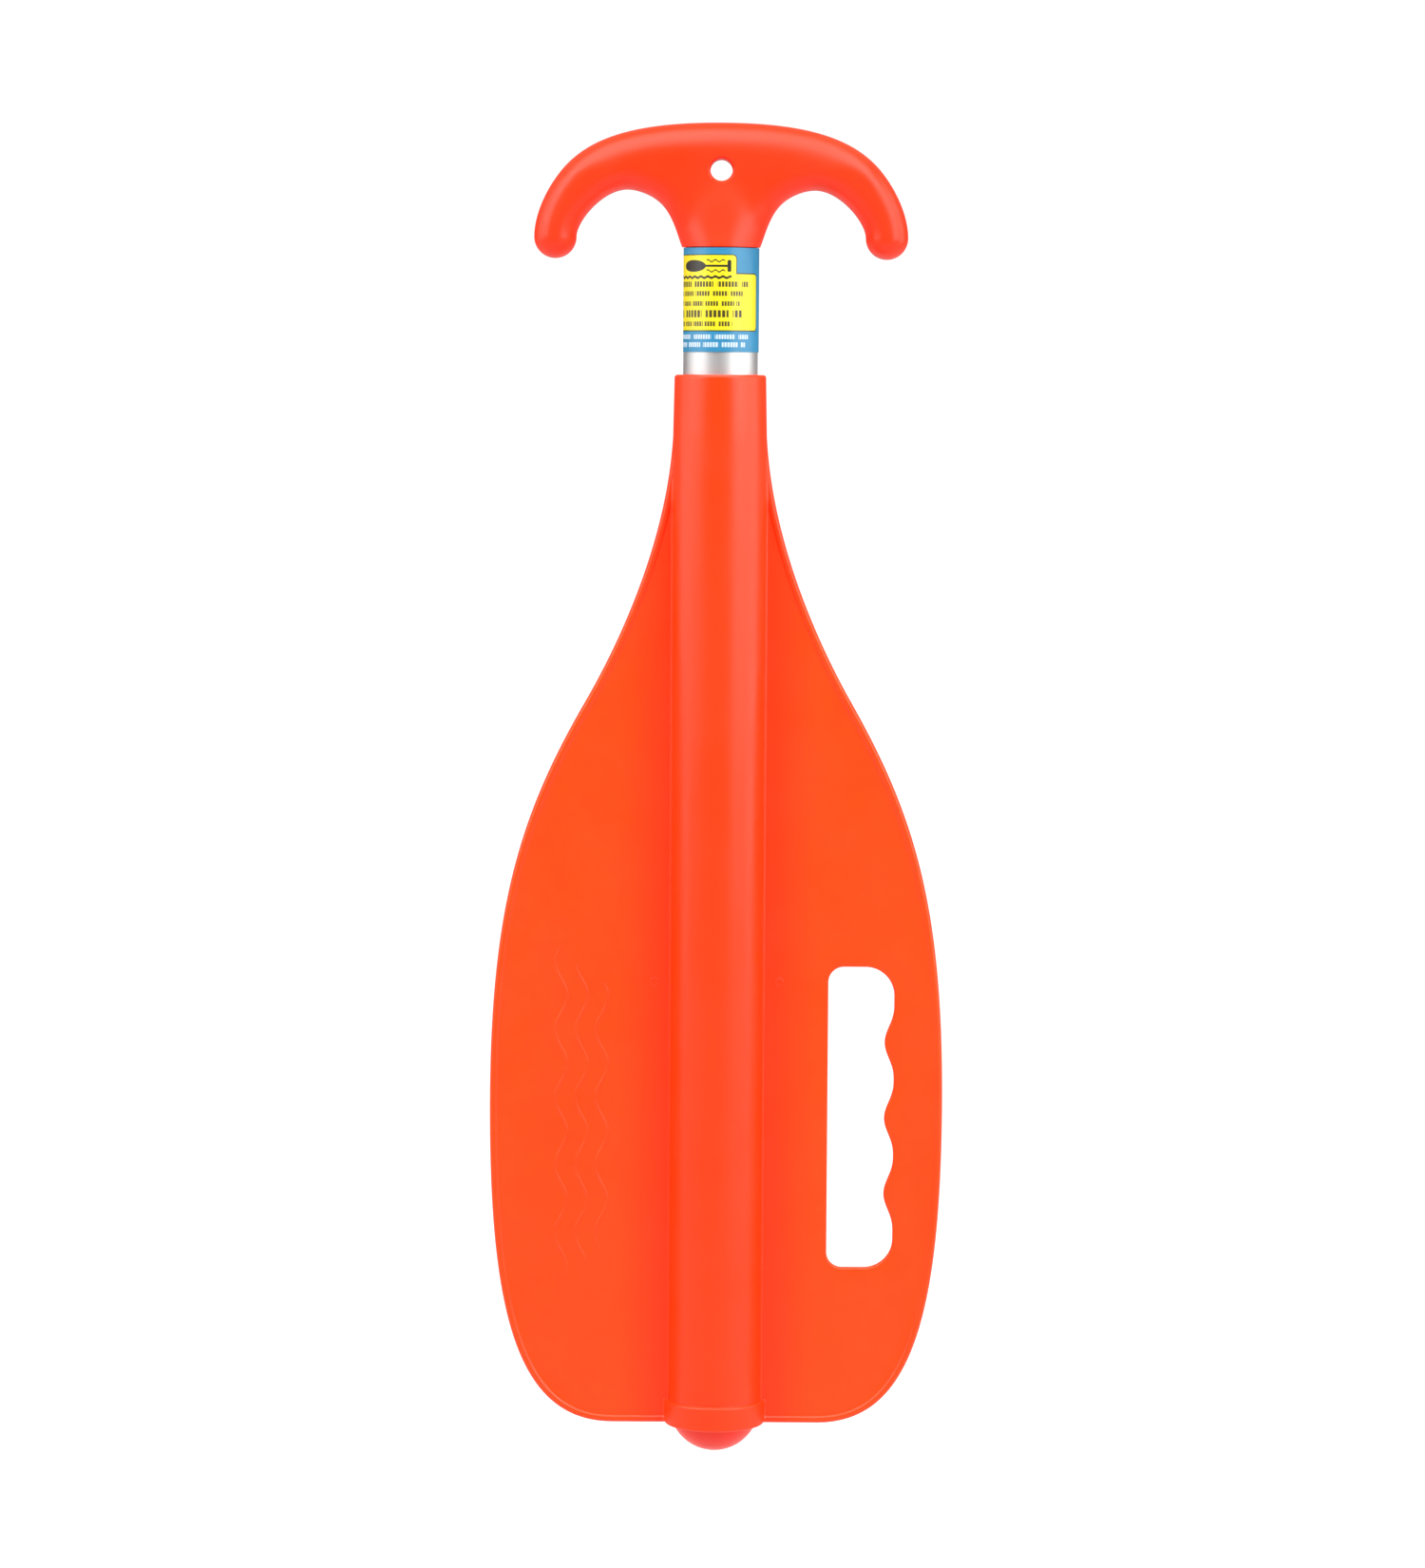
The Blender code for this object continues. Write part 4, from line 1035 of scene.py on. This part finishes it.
def softbox(name, azimuth, elevation, distance, size, power):
    """Area light round the object."""
    away = direction(azimuth, elevation)
    light = bpy.data.lights.new(name, "AREA")
    light.shape = "RECTANGLE"
    light.size, light.size_y = size
    light.energy = power
    lamp = bpy.data.objects.new(name, light)
    bpy.context.scene.collection.objects.link(lamp)
    lamp.location = LIT_POINT + away * distance
    lamp.rotation_euler = (-away).to_track_quat("-Z", "Y").to_euler()
    return lamp


def make_lights():
    """All softboxes; the one behind lights the back but shows in no reflection."""
    lamps = {row[0]: softbox(*row) for row in SOFTBOXES}
    lamps["back_box"].visible_glossy = False


def make_world():
    """White for the camera; for the object, softer light that grows from the horizon upwards."""
    backdrop, level, overhead = 1.05, 0.12, 0.5
    world = bpy.data.worlds.new("studio")
    bpy.context.scene.world = world
    world.use_nodes = True
    nodes, links = world.node_tree.nodes, world.node_tree.links
    nodes.clear()
    out = nodes.new("ShaderNodeOutputWorld")
    mix = nodes.new("ShaderNodeMixShader")
    path = nodes.new("ShaderNodeLightPath")
    seen = nodes.new("ShaderNodeBackground")
    fill = nodes.new("ShaderNodeBackground")
    seen.inputs["Strength"].default_value = backdrop
    place = nodes.new("ShaderNodeTexCoord")
    split = nodes.new("ShaderNodeSeparateXYZ")
    sky = nodes.new("ShaderNodeMapRange")
    sky.inputs["From Min"].default_value = 0.0
    sky.inputs["To Min"].default_value = level
    sky.inputs["To Max"].default_value = overhead
    links.new(place.outputs["Generated"], split.inputs[0])
    links.new(split.outputs["Z"], sky.inputs["Value"])
    links.new(sky.outputs[0], fill.inputs["Strength"])
    seen.inputs["Color"].default_value = (1, 1, 1, 1)
    fill.inputs["Color"].default_value = (1, 1, 1, 1)
    links.new(path.outputs["Is Camera Ray"], mix.inputs[0])
    links.new(fill.outputs[0], mix.inputs[1])
    links.new(seen.outputs[0], mix.inputs[2])
    links.new(mix.outputs[0], out.inputs[0])


def make_floor():
    """Plain pale disc below the fully extended paddle, which glows more for the camera."""
    depth = TIP_Z - TRAVEL - FLOOR_GAP
    bm = bmesh.new()
    bmesh.ops.create_circle(bm, cap_ends=True, segments=96, radius=FLOOR_RADIUS)
    bmesh.ops.translate(bm, verts=bm.verts, vec=(0, 0, depth * MM))
    mesh = bpy.data.meshes.new("floor")
    bm.to_mesh(mesh)
    bm.free()
    floor = bpy.data.objects.new("floor", mesh)
    bpy.context.scene.collection.objects.link(floor)
    finish = Finish("studio_floor")
    tint = finish.blend(finish.noise(3.0), (0.48, 0.48, 0.48), (0.46, 0.46, 0.46))
    finish.set(Base_Color=tint, Roughness=0.9)
    seen = finish.node("ShaderNodeLightPath").outputs["Is Camera Ray"]
    lit_glow, seen_glow = 0.14, 0.9
    glow = finish.span(seen, 0.0, 1.0, lit_glow, seen_glow, smooth=False)
    finish.set(Emission_Color=(1, 1, 1, 1), Emission_Strength=glow)
    mesh.materials.append(finish.material)


def make_camera():
    """Front view from slightly above, aimed at the middle of the closed paddle."""
    distance = 1.6315
    roll = math.radians(0.34)
    aim = Vector((-0.00186, 0.0, -0.20914))
    away = direction(0.0, 4.9)
    camera = bpy.data.cameras.new("camera")
    camera.lens = 109.09
    camera.sensor_width = 36.0
    camera.clip_start = 0.05
    camera.clip_end = 60.0
    lens = bpy.data.objects.new("camera", camera)
    bpy.context.scene.collection.objects.link(lens)
    turn = (-away).to_track_quat("-Z", "Y").to_matrix().to_4x4() @ Matrix.Rotation(roll, 4, "Z")
    lens.matrix_world = Matrix.Translation(aim + away * distance) @ turn
    bpy.context.scene.camera = lens


# Build ------------------------------------------------------------------------------------------

def dress(piece, finish, body, slot, *nodes):
    """Give a piece its finish, its body and the CAD nodes that it stands for. The slot name is not used.
    """
    piece.data.materials.clear()
    piece.data.materials.append(finish.material)
    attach(piece, body)
    if nodes:
        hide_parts(*nodes)


def redress(node, finish):
    """Better material on a CAD node that stays."""
    thing = frame["nodes"][node]
    if not thing.material_slots:
        thing.data.materials.append(finish.material)
    for place in thing.material_slots:
        place.material = finish.material


def make_blade_body():
    """Blade, its raised marks and the end plug, which all move with the blade."""
    # The blade's colour goes darker and redder towards the middle: painted shade over the socket tube and
    # the web beside it
    plastic = moulded_plastic("blade_orange", (1.0, 0.056, 0.0), (1.0, 0.049, 0.0), rough=0.35,
                              grain=1900.0, gloss=0.42, painted_middle_shade=(19.0, 36.0, (1.0, 0.038, 0.0)))
    plug_plastic = moulded_plastic("plug_orange", (1.0, 0.029, 0.010), (1.0, 0.025, 0.008), rough=0.32,
                                   grain=2300.0, gloss=0.35, parting=False)
    dress(blade_skin(), plastic, "blade", "blade_plastic", "blade")
    dress(front_relief(), plastic, "blade", "blade_plastic")
    dress(make_end_plug(), plug_plastic, "blade", "plug_plastic", "end_plug")


def make_shaft_body():
    """Handle, shaft and label, which all move with the shaft."""
    # The handle's colour goes darker towards the middle: painted shade over the middle of the plate and
    # the neck
    plastic = moulded_plastic("handle_orange", (1.0, 0.034, 0.004), (1.0, 0.030, 0.003), rough=0.36,
                              grain=1900.0, gloss=0.33, painted_middle_shade=(20.0, 44.0, (1.0, 0.0295, 0.001)))
    dress(make_handle(), plastic, "shaft", "handle_plastic", "handle")
    dress(make_spigot(), plastic, "shaft", "handle_plastic")
    aluminium = drawn_aluminium("anodised_aluminium", 0.49)
    dress(make_shaft(), aluminium, "shaft", "shaft_aluminium", "shaft_tube")
    dress(make_label(), printed_label("printed_vinyl"), "shaft", "label_vinyl", "shaft_label")


def redress_small_parts():
    """Rivet and lock, whose CAD shapes stay."""
    rivet = plain_metal("rivet_aluminium", (0.85, 0.85, 0.85), (0.74, 0.74, 0.74), 0.3)
    steel = plain_metal("stainless_steel", (0.62, 0.61, 0.60), (0.50, 0.49, 0.48), 0.28)
    nylon = moulded_plastic("natural_nylon", (0.80, 0.79, 0.74), (0.74, 0.72, 0.66), rough=0.45,
                            grain=2400.0, gloss=0.4, parting=False)
    redress("handle_rivet", rivet)
    for node in ("rivet_mandrel", "lock_plug_pin", "thrust_washer", "lock_screw"):
        redress(node, steel)
    for node in ("lock_plug", "cam_ring"):
        redress(node, nylon)


make_blade_body()
make_shaft_body()
redress_small_parts()
make_camera()
make_world()
make_floor()
make_lights()
bpy.context.scene.view_settings.view_transform = "Standard"
